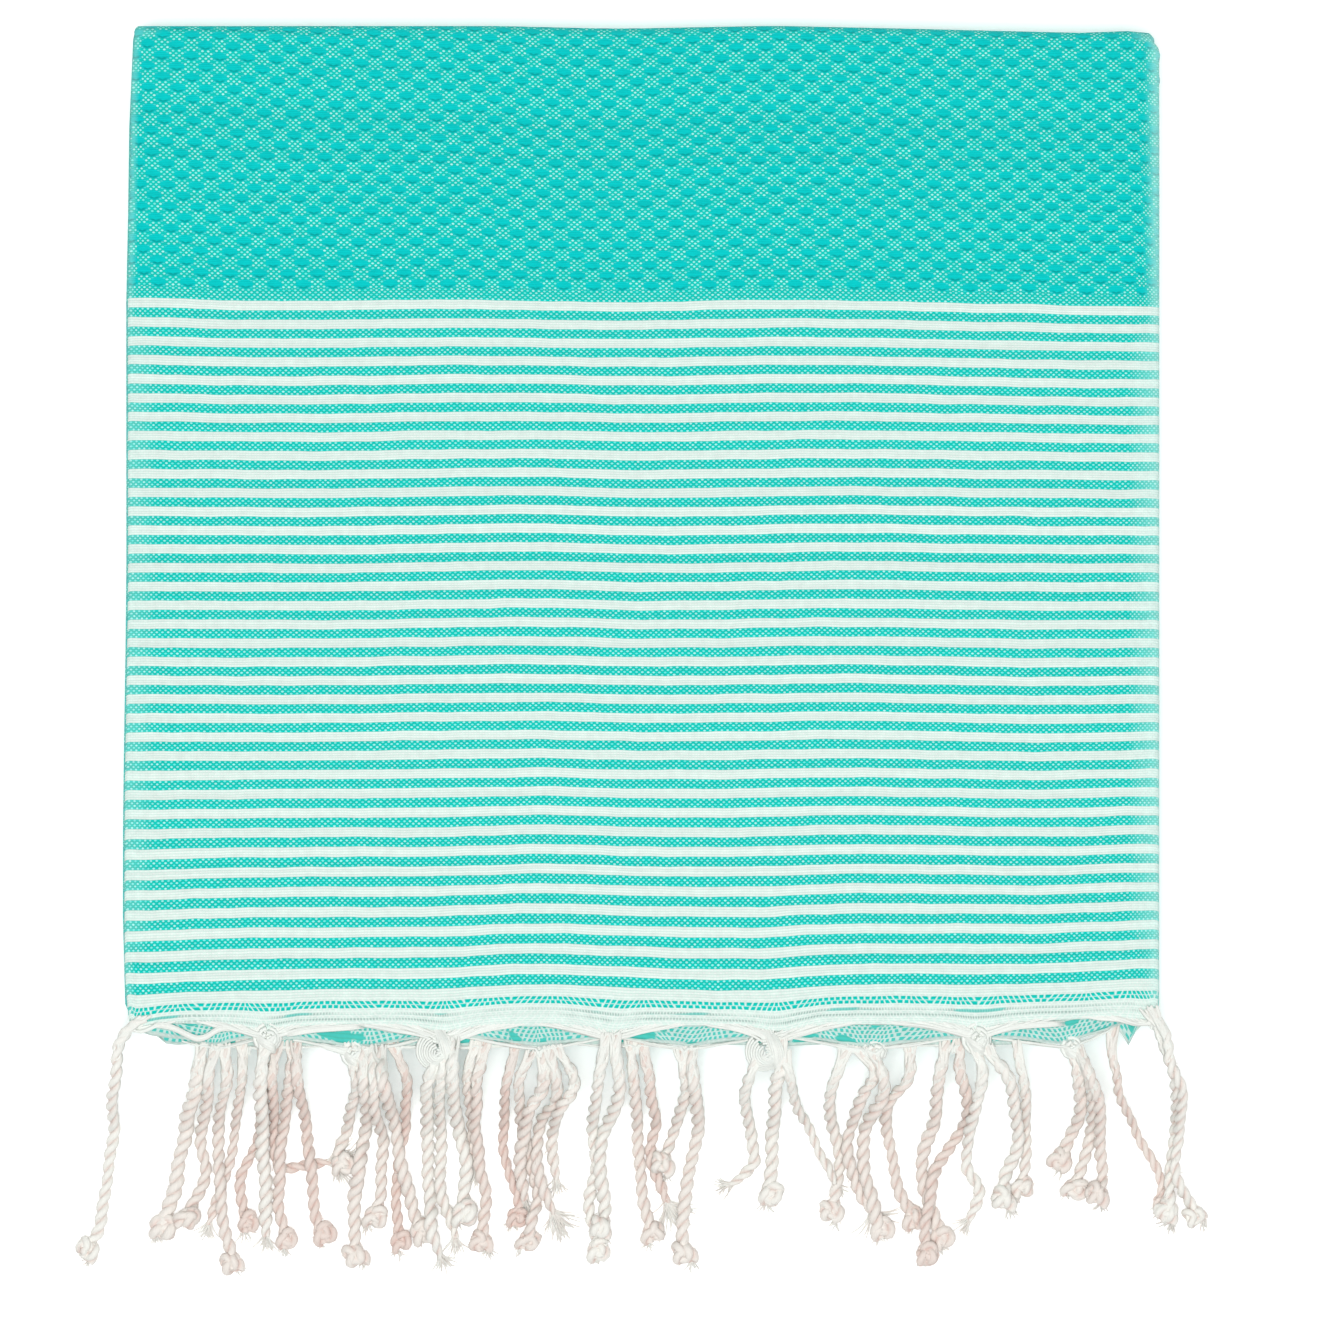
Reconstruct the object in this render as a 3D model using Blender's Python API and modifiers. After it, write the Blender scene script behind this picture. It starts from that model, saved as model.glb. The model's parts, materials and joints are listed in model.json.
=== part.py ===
"""A hammam towel (fouta) as it lies folded on a table, its hem and fringe towards -Y.

The cloth is one sheet. It is folded in three across its width, which makes a packet of three
layers, and the packet is folded back and forth six times along its length. The solid is the
middle surface of that folded sheet, thickened. Each end of the sheet lies in three layers, and
each layer carries a row of knotted fringe: a narrow strip just off the hem, with its cords.
Metres, +Z up. The origin lies on the table, under the middle of the stack.
"""

import math

import bmesh
import bpy
import numpy as np

MM = 0.001

# The sheet and its folds
CLOTH_THICK = 1.05 * MM
LAYER_PITCH = 1.45 * MM  # between the middles of two layers of one packet
RUN_PITCH = 4.65 * MM  # between the middles of two packets
RUNS = 6
FOLDED_LEFT = -166.5 * MM
FOLDED_RIGHT = 166.5 * MM
SELVEDGE_MIDDLE_X = 157.5 * MM  # the middle layer ends here, inside the right fold
SELVEDGE_UNDER_X = -159.5 * MM  # the under layer ends here, below the left fold
FOLD_STEPS = 4  # straight steps in each half turn
PACKET_HEIGHTS = {"face": LAYER_PITCH, "middle": 0.0, "under": -LAYER_PITCH}

# Where the packet turns, from the end that shows to the hidden one: back, front, back, front, back
TURNS_Y = tuple(y * MM for y in (157.6, -154.2, 156.4, -153.2, 158.0))
RUN_SHIFTS_X = tuple(x * MM for x in (0.0, -0.9, 0.6, -0.4, 1.0, 0.0))  # one for each run

# Stations that all layers share, so that neighbours stay an even distance apart
ACROSS = np.linspace(-140 * MM, 140 * MM, 6)
ALONG = np.array([-138, -46, 46, 130, 149]) * MM

# Hem lines in millimetres: x, then the y of each layer's hem
HEM_COLUMNS = ("x", "face", "middle", "under")
HEMS = np.array(
    (
        (-166.5, -160.4, -162.0, -164.0),
        (-140.0, -161.4, -166.4, -167.4),
        (-84.0, -162.2, -167.2, -168.2),
        (28.0, -162.0, -167.4, -168.4),
        (84.0, -161.4, -166.6, -168.0),
        (140.0, -160.0, -166.2, -167.2),
        (166.5, -159.4, -164.8, -161.0),
    )
)
HIDDEN_HEM_Y = {"face": -70.0 * MM, "middle": -71.6 * MM, "under": -73.0 * MM}
LAST_RUN_STATIONS_FROM = -50 * MM  # the hidden hem lies past this line

# The outline's unevenness, in millimetres: how far the back edge dips, by x, and the left edge lies in, by y
BACK_EDGE = np.array(((-166.5, 0.0), (-46.0, 0.0), (-9.0, -0.9), (42.0, 0.1), (83.0, -0.8), (166.5, -2.6)))
LEFT_EDGE = np.array(((-160.0, 0.4), (-140.0, -0.6), (73.0, 0.0), (162.0, 2.6)))
CORNER_IN = 2.4 * MM  # how far the back right corner is rounded in
CORNER_SIZE = 20 * MM
BACK_Y = 160 * MM
SAG = 0.07  # how much lower the stack is at its front corners than at its middle
SAG_ENDS = (165 * MM, 196 * MM)  # the sag fades out between these distances in front of the origin

# Fringe
GAP = 0.4 * MM
STRIP_WIDE = 3.0 * MM
STRIP_THICK = 1.0 * MM
ROOT_WIDE = 3.4 * MM
CORD_WIDE = 3.8 * MM
CORD_THICK = 3.4 * MM
KNOT_WIDE = 6.6 * MM
KNOT_THICK = 5.4 * MM
HEM_KNOT_WIDE = 3.9 * MM
HEM_KNOT_THICK = 3.8 * MM
TIP_WIDE = 4.6 * MM
BETWEEN_CORDS = 0.6 * MM
CLEAR_OF_HEMS_Y = -173.5 * MM  # all strips end before this line
LANDING_Y = -194.0 * MM  # the cords have come down to the table here
LANDING_SHARE = 0.25  # how much of a cord's length that is
LEVEL_STEP = 6.7 * MM  # between the stations of a cord on the table
DROP = ((0.30, 0.10), (0.68, 0.52))  # share of the way out to the landing, share of the way down

# Cords of the end that shows, left to right, in millimetres: the layer, the x at the hem, half way and at
# the tip, how many table steps it reaches, and whether a knot at the hem holds its bundle
CORD_COLUMNS = ("layer", "root_x", "half_way_x", "tip_x", "steps", "hem_knot")
CORDS = (
    ("face", -161.5, -171.0, -177.5, 5, True),
    ("middle", -144.0, -147.0, -156.5, 5, False),
    ("middle", -138.5, -142.0, -147.5, 4, False),
    ("middle", -132.5, -136.5, -136.0, 7, False),
    ("face", -121.5, -123.0, -122.5, 5, True),
    ("under", -114.0, -116.0, -114.5, 6, False),
    ("under", -109.0, -109.5, -104.0, 5, False),
    ("middle", -95.0, -98.0, -97.5, 3, False),
    ("middle", -90.0, -91.5, -93.0, 6, False),
    ("middle", -85.0, -85.0, -86.5, 4, False),
    ("under", -80.5, -78.5, -80.0, 6, False),
    ("under", -76.0, -76.5, -74.0, 7, False),
    ("face", -70.0, -70.0, -67.5, 7, True),
    ("face", -65.5, -66.0, -61.5, 6, True),
    ("face", -61.0, -58.0, -57.0, 5, True),
    ("under", -55.0, -53.0, -52.5, 7, False),
    ("middle", -42.5, -44.5, -41.5, 5, False),
    ("middle", -37.0, -38.5, -36.0, 7, False),
    ("middle", -29.0, -34.5, -32.0, 6, False),
    ("under", -20.5, -29.0, -26.0, 5, False),
    ("face", -12.5, -14.5, -16.5, 5, True),
    ("face", -7.5, -9.5, -10.5, 7, True),
    ("under", -3.0, -1.5, 2.5, 5, False),
    ("middle", 11.0, 8.5, 8.5, 4, False),
    ("middle", 15.5, 14.0, 13.5, 6, False),
    ("face", 44.0, 42.0, 38.0, 5, True),
    ("middle", 62.5, 61.0, 61.5, 5, False),
    ("middle", 68.5, 66.5, 67.0, 7, False),
    ("middle", 75.0, 72.5, 73.5, 5, False),
    ("under", 84.0, 78.5, 84.5, 5, False),
    ("under", 97.0, 92.0, 91.5, 6, False),
    ("under", 102.0, 102.5, 98.5, 6, False),
    ("face", 108.5, 119.5, 115.5, 3, True),
    ("under", 119.5, 124.5, 123.5, 2, False),
    ("middle", 137.0, 138.5, 134.5, 2, False),
    ("middle", 141.5, 144.5, 140.5, 3, False),
    ("middle", 146.0, 149.5, 149.0, 3, False),
    ("under", 151.5, 158.5, 164.0, 2, False),
    ("face", 161.0, 172.0, 175.0, 4, True),
)

# Cords of the hidden end lie straight under the front of the stack, each layer at every third place
HIDDEN_PITCH = 9.1 * MM
HIDDEN_CORDS = 12  # in each layer
HIDDEN_LANDING_Y = -84.0 * MM
HIDDEN_THIN_Y = -134.0 * MM
HIDDEN_KNOT_Y = -140.0 * MM
HIDDEN_TIP_Y = -146.0 * MM
HIDDEN_KNOT_WIDE = 5.4 * MM
HIDDEN_KNOT_THICK = 4.0 * MM

TURQUOISE = (0.010, 0.560, 0.480, 1.0)
CREAM = (0.860, 0.830, 0.780, 1.0)
COTTON_ROUGHNESS = 0.9


def smooth(value, start, end):
    """0 before start, 1 past end, and a soft step between them."""
    share = min(1.0, max(0.0, (value - start) / (end - start)))
    return share * share * (3 - 2 * share)


def hem_y(layer, x):
    """The y of one layer's hem at x, in straight stretches between the table's rows."""
    column = HEM_COLUMNS.index(layer)
    return float(np.interp(x / MM, HEMS[:, 0], HEMS[:, column])) * MM


def settle(x, y, z):
    """Turns the even stack into the uneven one. The table stays at height 0."""
    near_hem = 1 - smooth(-y, *SAG_ENDS)
    dip = smooth(y, -20 * MM, BACK_Y) * float(np.interp(x / MM, *BACK_EDGE.T)) * MM
    bow = near_hem * smooth(-x, 60 * MM, -FOLDED_LEFT) * float(np.interp(y / MM, *LEFT_EDGE.T)) * MM
    corner = smooth(x, FOLDED_RIGHT - CORNER_SIZE, FOLDED_RIGHT) * smooth(y, BACK_Y - CORNER_SIZE, BACK_Y)
    lower = SAG * near_hem * (x / FOLDED_RIGHT) ** 2 * smooth(-y, -BACK_Y, BACK_Y)
    return x + bow - corner * CORNER_IN, y + dip - corner * CORNER_IN, z * (1 - lower)


def half_turn(centre_x, centre_height, radius, start, end):
    """Points on a half circle, without its two ends."""
    angles = np.linspace(start, end, FOLD_STEPS + 1)[1:-1]
    return [(centre_x + radius * math.cos(t), centre_height + radius * math.sin(t)) for t in angles]


def width_section():
    """(x, height in the packet, layer), from the middle layer's selvedge to the under layer's selvedge."""
    quarter = math.pi / 2
    left = FOLDED_LEFT + (LAYER_PITCH + CLOTH_THICK) / 2
    right = FOLDED_RIGHT - LAYER_PITCH - CLOTH_THICK / 2
    shared = [SELVEDGE_UNDER_X, *ACROSS, SELVEDGE_MIDDLE_X]
    left_fold = half_turn(left, LAYER_PITCH / 2, LAYER_PITCH / 2, -quarter, -3 * quarter)
    right_fold = half_turn(right, 0.0, LAYER_PITCH, quarter, -quarter)
    points = [(x, PACKET_HEIGHTS["middle"], "middle") for x in [left, *shared][::-1]]
    points += [(x, height, "middle") for x, height in left_fold]
    points += [(x, PACKET_HEIGHTS["face"], "face") for x in [left, *shared, right]]
    points += [(x, height, "face") for x, height in right_fold]
    points += [(x, PACKET_HEIGHTS["under"], "under") for x in [*shared, right][::-1]]
    return points


def run_height(run):
    """Height of the middle of a packet. Run 0 is the top one."""
    lowest = LAYER_PITCH + CLOTH_THICK / 2
    return lowest + (RUNS - 1 - run) * RUN_PITCH


def turn_stations(turn_y, middle_z, heading, run):
    """Stations round one turn of the packet, without its ends. heading is 1 at the back, -1 at the front."""
    stations = []
    for out, lift in half_turn(0.0, 0.0, 1.0, math.pi / 2, -math.pi / 2):
        y = turn_y + heading * out * RUN_PITCH / 2
        z = middle_z + lift * RUN_PITCH / 2
        stations.append((y, z, out, lift * heading, run + 0.5))
    return stations


def length_path():
    """(y, z, normal's y, normal's z, run) from the hem that shows to the hidden one. A y of None is a hem."""
    stations = []
    starts = (None, *TURNS_Y)
    ends = (*TURNS_Y, None)
    for run in range(RUNS):
        heading = 1.0 if run % 2 == 0 else -1.0
        between = sorted(ALONG, reverse=heading < 0)
        if ends[run] is None:
            between = [y for y in between if y > LAST_RUN_STATIONS_FROM]
        for y in (starts[run], *between, ends[run]):
            stations.append((y, run_height(run), 0.0, heading, run))
        if ends[run] is not None:
            stations += turn_stations(ends[run], run_height(run) - RUN_PITCH / 2, heading, run)
    return stations


def cloth_point(section, station):
    """One point of the folded middle surface."""
    x, height, layer = section
    y, z, normal_y, normal_z, run = station
    if y is None:
        y = hem_y(layer, x) if run == 0 else HIDDEN_HEM_Y[layer]
    shift = float(np.interp(run, range(RUNS), RUN_SHIFTS_X))
    return settle(x + shift, y + height * normal_y, z + height * normal_z)


def cotton(name, colour):
    made = bpy.data.materials.new(name)
    made.use_nodes = True
    shader = made.node_tree.nodes["Principled BSDF"]
    shader.inputs["Base Color"].default_value = colour
    shader.inputs["Roughness"].default_value = COTTON_ROUGHNESS
    shader.inputs["Metallic"].default_value = 0.0
    return made


def add_object(name, shape, finish, collection):
    mesh = bpy.data.meshes.new(name)
    shape.to_mesh(mesh)
    shape.free()
    mesh.materials.append(finish)
    made = bpy.data.objects.new(name, mesh)
    collection.objects.link(made)
    return made


def add_cloth(collection):
    """The folded sheet: a grid laid along the folds, then thickened."""
    across = width_section()
    along = length_path()
    shape = bmesh.new()
    bmesh.ops.create_grid(shape, x_segments=len(across) - 1, y_segments=len(along) - 1, size=1.0)
    for vertex in shape.verts:
        column = round((vertex.co.x + 1) / 2 * (len(across) - 1))
        row = round((vertex.co.y + 1) / 2 * (len(along) - 1))
        vertex.co = cloth_point(across[column], along[row])
    cloth = add_object("towel_cloth", shape, cotton("Woven cotton", TURQUOISE), collection)
    thicken = cloth.modifiers.new("Thickness", "SOLIDIFY")
    thicken.thickness = CLOTH_THICK
    thicken.offset = 0.0
    thicken.use_even_offset = True


def side_by_side(wanted, half_widths):
    """Moves neighbours apart, a little at a time, until none touch."""
    places = list(wanted)
    for _ in range(200):
        for i in range(len(places) - 1):
            needed = half_widths[i] + half_widths[i + 1] + BETWEEN_CORDS
            short = needed - (places[i + 1] - places[i])
            if short > 0:
                places[i] -= short / 2
                places[i + 1] += short / 2
    return places


def cord_size(step, steps):
    """Width and thickness of a cord at a table step. It has a knot before its tip."""
    if step == steps - 1:
        return KNOT_WIDE, KNOT_THICK
    if step == steps:
        return TIP_WIDE, CORD_THICK
    return CORD_WIDE, CORD_THICK


def cord_plan():
    """The table's rows as dicts, with the cord's x at its root and at each table step, none touching."""
    cords = [dict(zip(CORD_COLUMNS, row)) for row in CORDS]
    roots = side_by_side([cord["root_x"] * MM for cord in cords], [ROOT_WIDE / 2] * len(cords))
    for cord, root in zip(cords, roots):
        cord["root"] = root
        cord["places"] = []
    for step in range(max(cord["steps"] for cord in cords) + 1):
        reaching = [cord for cord in cords if cord["steps"] >= step]
        wanted = []
        for cord in reaching:
            share = LANDING_SHARE + (1 - LANDING_SHARE) * step / cord["steps"]
            stops = (cord["root_x"], cord["half_way_x"], cord["tip_x"])
            wanted.append(float(np.interp(share, (0.0, 0.5, 1.0), stops)) * MM)
        halves = [cord_size(step, cord["steps"])[0] / 2 for cord in reaching]
        for cord, place in zip(reaching, side_by_side(wanted, halves)):
            cord["places"].append(place)
    return cords


def strip_cuts(roots):
    """Where a strip is cut across: its ends, the sides of each root, and the hem table's rows in between."""
    half = ROOT_WIDE / 2
    cuts = [min(roots) - 1.5 * half, max(roots) + 1.5 * half]
    cuts += [root + side * half for root in roots for side in (-1, 1)]
    for x in HEMS[:, 0] * MM:
        inside = min(cuts) < x < max(cuts)
        if inside and all(abs(x - root) > 1.2 * half for root in roots):
            cuts.append(x)
    return sorted(cuts)


def add_strip(shape, roots, hem_at, height):
    """The strip beside one layer's hem. Returns the outer face at each root, in order."""
    cuts = strip_cuts(roots)
    bmesh.ops.create_grid(shape, x_segments=len(cuts) - 1, y_segments=1, size=1.0)
    for vertex in shape.verts:
        x = cuts[round((vertex.co.x + 1) / 2 * (len(cuts) - 1))]
        out = STRIP_WIDE if vertex.co.y < 0 else 0.0
        vertex.co = (x, hem_at(x) - GAP - out, height - STRIP_THICK / 2)
    raised = bmesh.ops.extrude_face_region(shape, geom=list(shape.faces))
    for part in raised["geom"]:
        if isinstance(part, bmesh.types.BMVert):
            part.co.z += STRIP_THICK
    shape.normal_update()
    outer = [face for face in shape.faces if face.normal.y < -0.9]
    return [min(outer, key=lambda face: abs(face.calc_center_median().x - root)) for root in roots]


def place_section(face, centre, direction, width, thickness):
    """Moves a cord's end face to a section square to its direction, with its width level."""
    along = direction / np.linalg.norm(direction)
    side = np.cross(along, (0.0, 0.0, 1.0))
    side /= np.linalg.norm(side)
    rise = np.cross(side, along)
    middle = face.calc_center_median()
    for vertex in face.verts:
        sideways = 1 if (vertex.co.x - middle.x) * side[0] > 0 else -1
        upward = 1 if vertex.co.z > middle.z else -1
        vertex.co = centre + side * sideways * width / 2 + rise * upward * thickness / 2


def draw_cord(shape, face, stations):
    """Draws a cord out of its root face through (centre, width, thickness) stations."""
    centres = [np.array(face.calc_center_median())]
    centres += [np.array(centre) for centre, _, _ in stations]
    for i, (_, width, thickness) in enumerate(stations, start=1):
        face = bmesh.ops.extrude_discrete_faces(shape, faces=[face])["faces"][0]
        direction = centres[min(i + 1, len(centres) - 1)] - centres[i - 1]
        lies_on_table = math.isclose(centres[i][2], thickness / 2)
        if lies_on_table:
            direction[2] = 0.0
        place_section(face, centres[i], direction, width, thickness)


def visible_stations(cord, layer_height):
    """Out over the hems below, down in a curve, then level on the table."""
    root = cord["root"]
    underside = layer_height - STRIP_THICK / 2
    start_z = underside + CORD_THICK * 0.4
    stations = []
    if cord["hem_knot"]:
        strip_end = hem_y(cord["layer"], root) - GAP - STRIP_WIDE
        knot = (root, (strip_end + CLEAR_OF_HEMS_Y) / 2, underside + HEM_KNOT_THICK / 2)
        stations.append((knot, HEM_KNOT_WIDE, HEM_KNOT_THICK))
    stations.append(((root, CLEAR_OF_HEMS_Y, start_z), ROOT_WIDE, CORD_THICK * 0.8))
    for out, down in DROP:
        x = root + (cord["places"][0] - root) * out
        y = CLEAR_OF_HEMS_Y + (LANDING_Y - CLEAR_OF_HEMS_Y) * out
        z = start_z + (CORD_THICK / 2 - start_z) * down
        stations.append(((x, y, z), CORD_WIDE, CORD_THICK * 0.9))
    for step, x in enumerate(cord["places"]):
        width, thickness = cord_size(step, cord["steps"])
        stations.append(((x, LANDING_Y - LEVEL_STEP * step, thickness / 2), width, thickness))
    return stations


def add_visible_row(layer, cords, collection):
    height = run_height(0) + PACKET_HEIGHTS[layer]
    row = [cord for cord in cords if cord["layer"] == layer]
    shape = bmesh.new()
    faces = add_strip(shape, [cord["root"] for cord in row], lambda x: hem_y(layer, x), height)
    for cord, face in zip(row, faces):
        draw_cord(shape, face, visible_stations(cord, height))
    for vertex in shape.verts:
        vertex.co = settle(*vertex.co)
    add_object("fringe_" + layer, shape, cotton("Twisted cotton " + layer, CREAM), collection)


def add_hidden_row(layer, turn, collection):
    """A plain row of the hidden end, where the packet lies upside down."""
    height = run_height(RUNS - 1) - PACKET_HEIGHTS[layer]
    middle_place = (3 * HIDDEN_CORDS - 1) / 2
    roots = [(turn + 3 * i - middle_place) * HIDDEN_PITCH for i in range(HIDDEN_CORDS)]
    shape = bmesh.new()
    faces = add_strip(shape, roots, lambda x: HIDDEN_HEM_Y[layer], height)
    for root, face in zip(roots, faces):
        stations = [
            ((root, HIDDEN_LANDING_Y, CORD_THICK / 2), CORD_WIDE, CORD_THICK),
            ((root, HIDDEN_THIN_Y, CORD_THICK / 2), CORD_WIDE, CORD_THICK),
            ((root, HIDDEN_KNOT_Y, HIDDEN_KNOT_THICK / 2), HIDDEN_KNOT_WIDE, HIDDEN_KNOT_THICK),
            ((root, HIDDEN_TIP_Y, CORD_THICK / 2), CORD_WIDE, CORD_THICK),
        ]
        draw_cord(shape, face, stations)
    add_object("fringe_hidden_" + layer, shape, cotton("Twisted cotton hidden " + layer, CREAM), collection)


def main():
    for thing in list(bpy.data.objects):
        bpy.data.objects.remove(thing, do_unlink=True)
    collection = bpy.data.collections.new("Hammam towel")
    bpy.context.scene.collection.children.link(collection)
    add_cloth(collection)
    cords = cord_plan()
    for turn, layer in enumerate(PACKET_HEIGHTS):
        add_visible_row(layer, cords, collection)
        add_hidden_row(layer, turn, collection)


main()
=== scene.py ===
"""Folded hammam towel (fouta): a honeycomb field, narrow stripes, openwork hems and a knotted cord fringe.

The cloth is one sheet of woven cotton, folded in three across its width and in six along its length.
Lengths are in millimetres in the tables and functions, and become metres where a mesh is made.
"""

import json
import math
import random
from functools import partial

import bmesh
import bpy
import numpy as np
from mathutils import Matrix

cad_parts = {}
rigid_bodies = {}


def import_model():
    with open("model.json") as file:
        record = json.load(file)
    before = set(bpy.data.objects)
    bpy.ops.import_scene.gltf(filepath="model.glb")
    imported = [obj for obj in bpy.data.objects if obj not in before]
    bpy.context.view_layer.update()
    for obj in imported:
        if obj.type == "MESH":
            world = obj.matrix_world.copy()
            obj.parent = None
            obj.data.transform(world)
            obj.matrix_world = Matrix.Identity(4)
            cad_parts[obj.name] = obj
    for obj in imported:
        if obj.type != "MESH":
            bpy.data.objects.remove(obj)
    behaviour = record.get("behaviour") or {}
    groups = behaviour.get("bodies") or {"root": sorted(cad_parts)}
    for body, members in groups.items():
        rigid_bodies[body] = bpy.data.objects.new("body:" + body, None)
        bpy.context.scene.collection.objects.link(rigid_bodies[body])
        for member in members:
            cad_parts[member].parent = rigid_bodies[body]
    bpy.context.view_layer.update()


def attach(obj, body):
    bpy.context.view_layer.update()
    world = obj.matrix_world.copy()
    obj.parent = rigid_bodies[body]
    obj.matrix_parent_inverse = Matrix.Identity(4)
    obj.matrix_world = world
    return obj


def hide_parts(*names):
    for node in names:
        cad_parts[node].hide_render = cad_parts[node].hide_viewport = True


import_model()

bl_info = {
    "name": "Folded hammam towel",
    "version": (1, 0, 0),
    "blender": (4, 5, 0),
    "location": "3D View > Sidebar > Towel",
    "description": "Builds a folded cotton hammam towel with its woven cloth and knotted fringe",
    "category": "Object",
}

MM = 0.001

# ------------------------------------------------------------------------------------ the folded sheet

CLOTH_THICK = 1.05
LAYER_PITCH = 1.45  # between the middles of two layers of one packet
RUN_PITCH = 4.65  # between the middles of two packets
RUNS = 6
FOLDED_LEFT, FOLDED_RIGHT = -166.5, 166.5
SELVEDGE_MIDDLE_X = 157.5
SELVEDGE_UNDER_X = -159.5
LEFT_CENTRE = FOLDED_LEFT + (LAYER_PITCH + CLOTH_THICK) / 2
RIGHT_CENTRE = FOLDED_RIGHT - LAYER_PITCH - CLOTH_THICK / 2
TURNS_Y = (157.6, -154.2, 156.4, -153.2, 158.0)  # back, front, back, front, back
RUN_SHIFTS_X = (0.0, -0.9, 0.6, -0.4, 1.0, 0.0)
# How far the back edge dips, by x, and how far the left edge lies in, by y
BACK_EDGE = (
    (-166.5, -46.0, -9.0, 42.0, 83.0, 141.0, 152.0, 166.5),
    (0.0, 0.0, -0.9, 0.1, -0.8, -2.2, -1.8, -1.2),
)
DIPS_FROM_Y, BOWS_FROM_X = -20.0, -60.0  # the unevenness grows from here to the back and to the left edge
LEFT_EDGE = (
    (-160.0, -140.0, -88.0, -23.0, 73.0, 106.0, 138.0, 154.0, 162.0),
    (-0.1, -1.2, -1.1, 0.0, 0.0, 0.7, 1.1, 1.8, 2.8),
)
CORNER_IN, CORNER_SIZE = 1.5, 5.5  # the rounding of the back right corner
BACK_Y = 160.0
SAG = 0.07  # how much lower the stack is at its front corners than at its middle
SAG_ENDS = (165.0, 196.0)  # the sag fades out between these distances in front of the origin
ACROSS_ZERO = 20.0  # keeps the warp's coordinate above 0
RELIEF_HIGH = 0.34  # how far the honeycomb's floats puff up
EDGES_DROP = 1.3  # how far the top packet's side folds lie below its middle
DRAWN_IN_LONG, DRAWN_IN_WIDE = 13.0, 16.0  # how far from the hem, and aside, a knot draws the warp in

# Lengths along the width of the sheet, from the middle layer's selvedge to the under layer's
TO_LEFT_FOLD = SELVEDGE_MIDDLE_X - LEFT_CENTRE
TO_FACE = TO_LEFT_FOLD + math.pi * LAYER_PITCH / 2
TO_RIGHT_FOLD = TO_FACE + RIGHT_CENTRE - LEFT_CENTRE
TO_UNDER = TO_RIGHT_FOLD + math.pi * LAYER_PITCH
SHEET_WIDE = TO_UNDER + RIGHT_CENTRE - SELVEDGE_UNDER_X

# Hem lines: face follows the solid, with small scallops between its knots. The other two hang as lens shapes
FACE_HEM = (
    (-166.5, -140.0, -84.0, 28.0, 84.0, 122.0, 140.0, 166.5),
    (-160.2, -160.9, -161.6, -161.4, -160.9, -160.2, -159.3, -158.5),
)
FACE_KNOTS_X = (-166.0, -122.0, -63.5, -10.0, 44.0, 108.0, 164.5)
MIDDLE_HEM = (
    (-166.5, -158.0, -138.0, -122.0, -90.5, -63.5, -33.5, -10.0, 13.0, 44.0, 71.5, 108.0,
     137.5, 143.0, 148.5, 153.0, 157.5, 166.5),
    (-162.2, -164.6, -167.4, -164.8, -168.0, -164.2, -167.6, -164.8, -167.6, -164.4, -167.8, -164.6,
     -167.2, -165.4, -163.0, -161.0, -160.2, -160.0),
)
UNDER_HEM = (
    (-166.5, -159.5, -155.5, -150.0, -138.0, -122.0, -90.5, -63.5, -33.5, -10.0, 13.0, 44.0, 71.5, 108.0,
     137.5, 143.0, 149.0, 155.0, 158.5, 161.8, 166.5),
    (-163.4, -164.0, -167.4, -167.0, -167.4, -167.6, -167.0, -167.6, -166.6, -167.0, -166.4, -167.6, -166.2,
     -167.4, -166.0, -163.8, -161.8, -160.8, -167.4, -160.6, -159.8),
)
MIDDLE_KNOTS_X = (-138.0, -90.5, -33.5, 13.0, 71.5, 137.5)
HIDDEN_HEM_Y = {"face": -70.0, "middle": -71.6, "under": -73.0}
MEAN_HEM_Y, MEAN_HIDDEN_HEM_Y = -161.5, -71.5
# The face hem's scallops: rise between its knots, dip at them, half width of the dip, and length affected
SCALLOP_RISE, SCALLOP_DIP, SCALLOP_WIDE, SCALLOP_LONG = 0.5, 2.0, 9.0, 16.0

# The weave's repeats, counted on the photographed towel
WARP_PITCH = 0.935
STRIPE_REPEAT = 6.03
PICKS_A_STRIPE = 8.0
STRIPES = 37.1
BAND_WIDE = 5.5  # the white band along the hem
GAP_ROWS = (4.9, 3.0)  # the openwork rows in it, from the hem
LOWER_BAND = ((0.0, 0.7, 6.8), (5.75, 6.1, 9.0))  # on the lower layers: lengths from the edge, and woven ones
DAB_ROW, FINE_DAB_ROW = 1.15, 0.66  # rows of the looser weave by the band, on the face and on lower layers
BLOCK = 5.0  # warps and picks to a side of a honeycomb block
FIELD_REPEAT = 9.0  # a dotted and a floating block are this many stripe picks high
FIRST_STRIPE_Y = 72.9
BAND_Y = -155.95
LOOSER_FROM_Y, LOOSER = -71.0, 0.000118  # the stripes widen a little towards the hem
PICK_ZERO, FIELD_ENDS = 1024.0, 1019.0  # picks are counted towards the hem, from far inside the field
DOTTED_SHARE = 0.568  # of a honeycomb repeat, whose five floats lie closer than its five dotted picks

# How far the stripes wander towards the hem: rows by y, columns by x
WAVES_X = (-160, -130, -100, -65, -35, 0, 35, 65, 100, 130, 160)
WAVES_Y = (-148.35, -109.0, -71.75, 0.9, 72.9, 160.0)
WAVES = (
    (2.3, 1.1, 0.7, 0.3, -1.0, 0.25, 0.95, -0.8, -0.95, -1.4, -2.9),
    (1.55, 0.8, 0.55, 0.4, -0.5, 0.35, 0.4, -0.4, -0.15, 0.2, -0.7),
    (0.5, 0.5, 0.4, 0.0, -0.3, 0.35, 0.15, -0.3, 0.3, 0.65, 0.1),
    (0.0, 0.15, 0.25, -0.25, -0.65, 0.2, -0.15, -0.6, -0.2, 0.1, 0.25),
    (-1.0, -0.1, -0.05, -0.4, -0.05, -0.05, -0.35, -0.4, 0.0, 0.2, 0.9),
    (-3.2, -2.1, -0.45, 0.9, 2.75, 2.35, 1.55, 1.6, 2.1, 1.7, 2.7),
)

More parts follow.
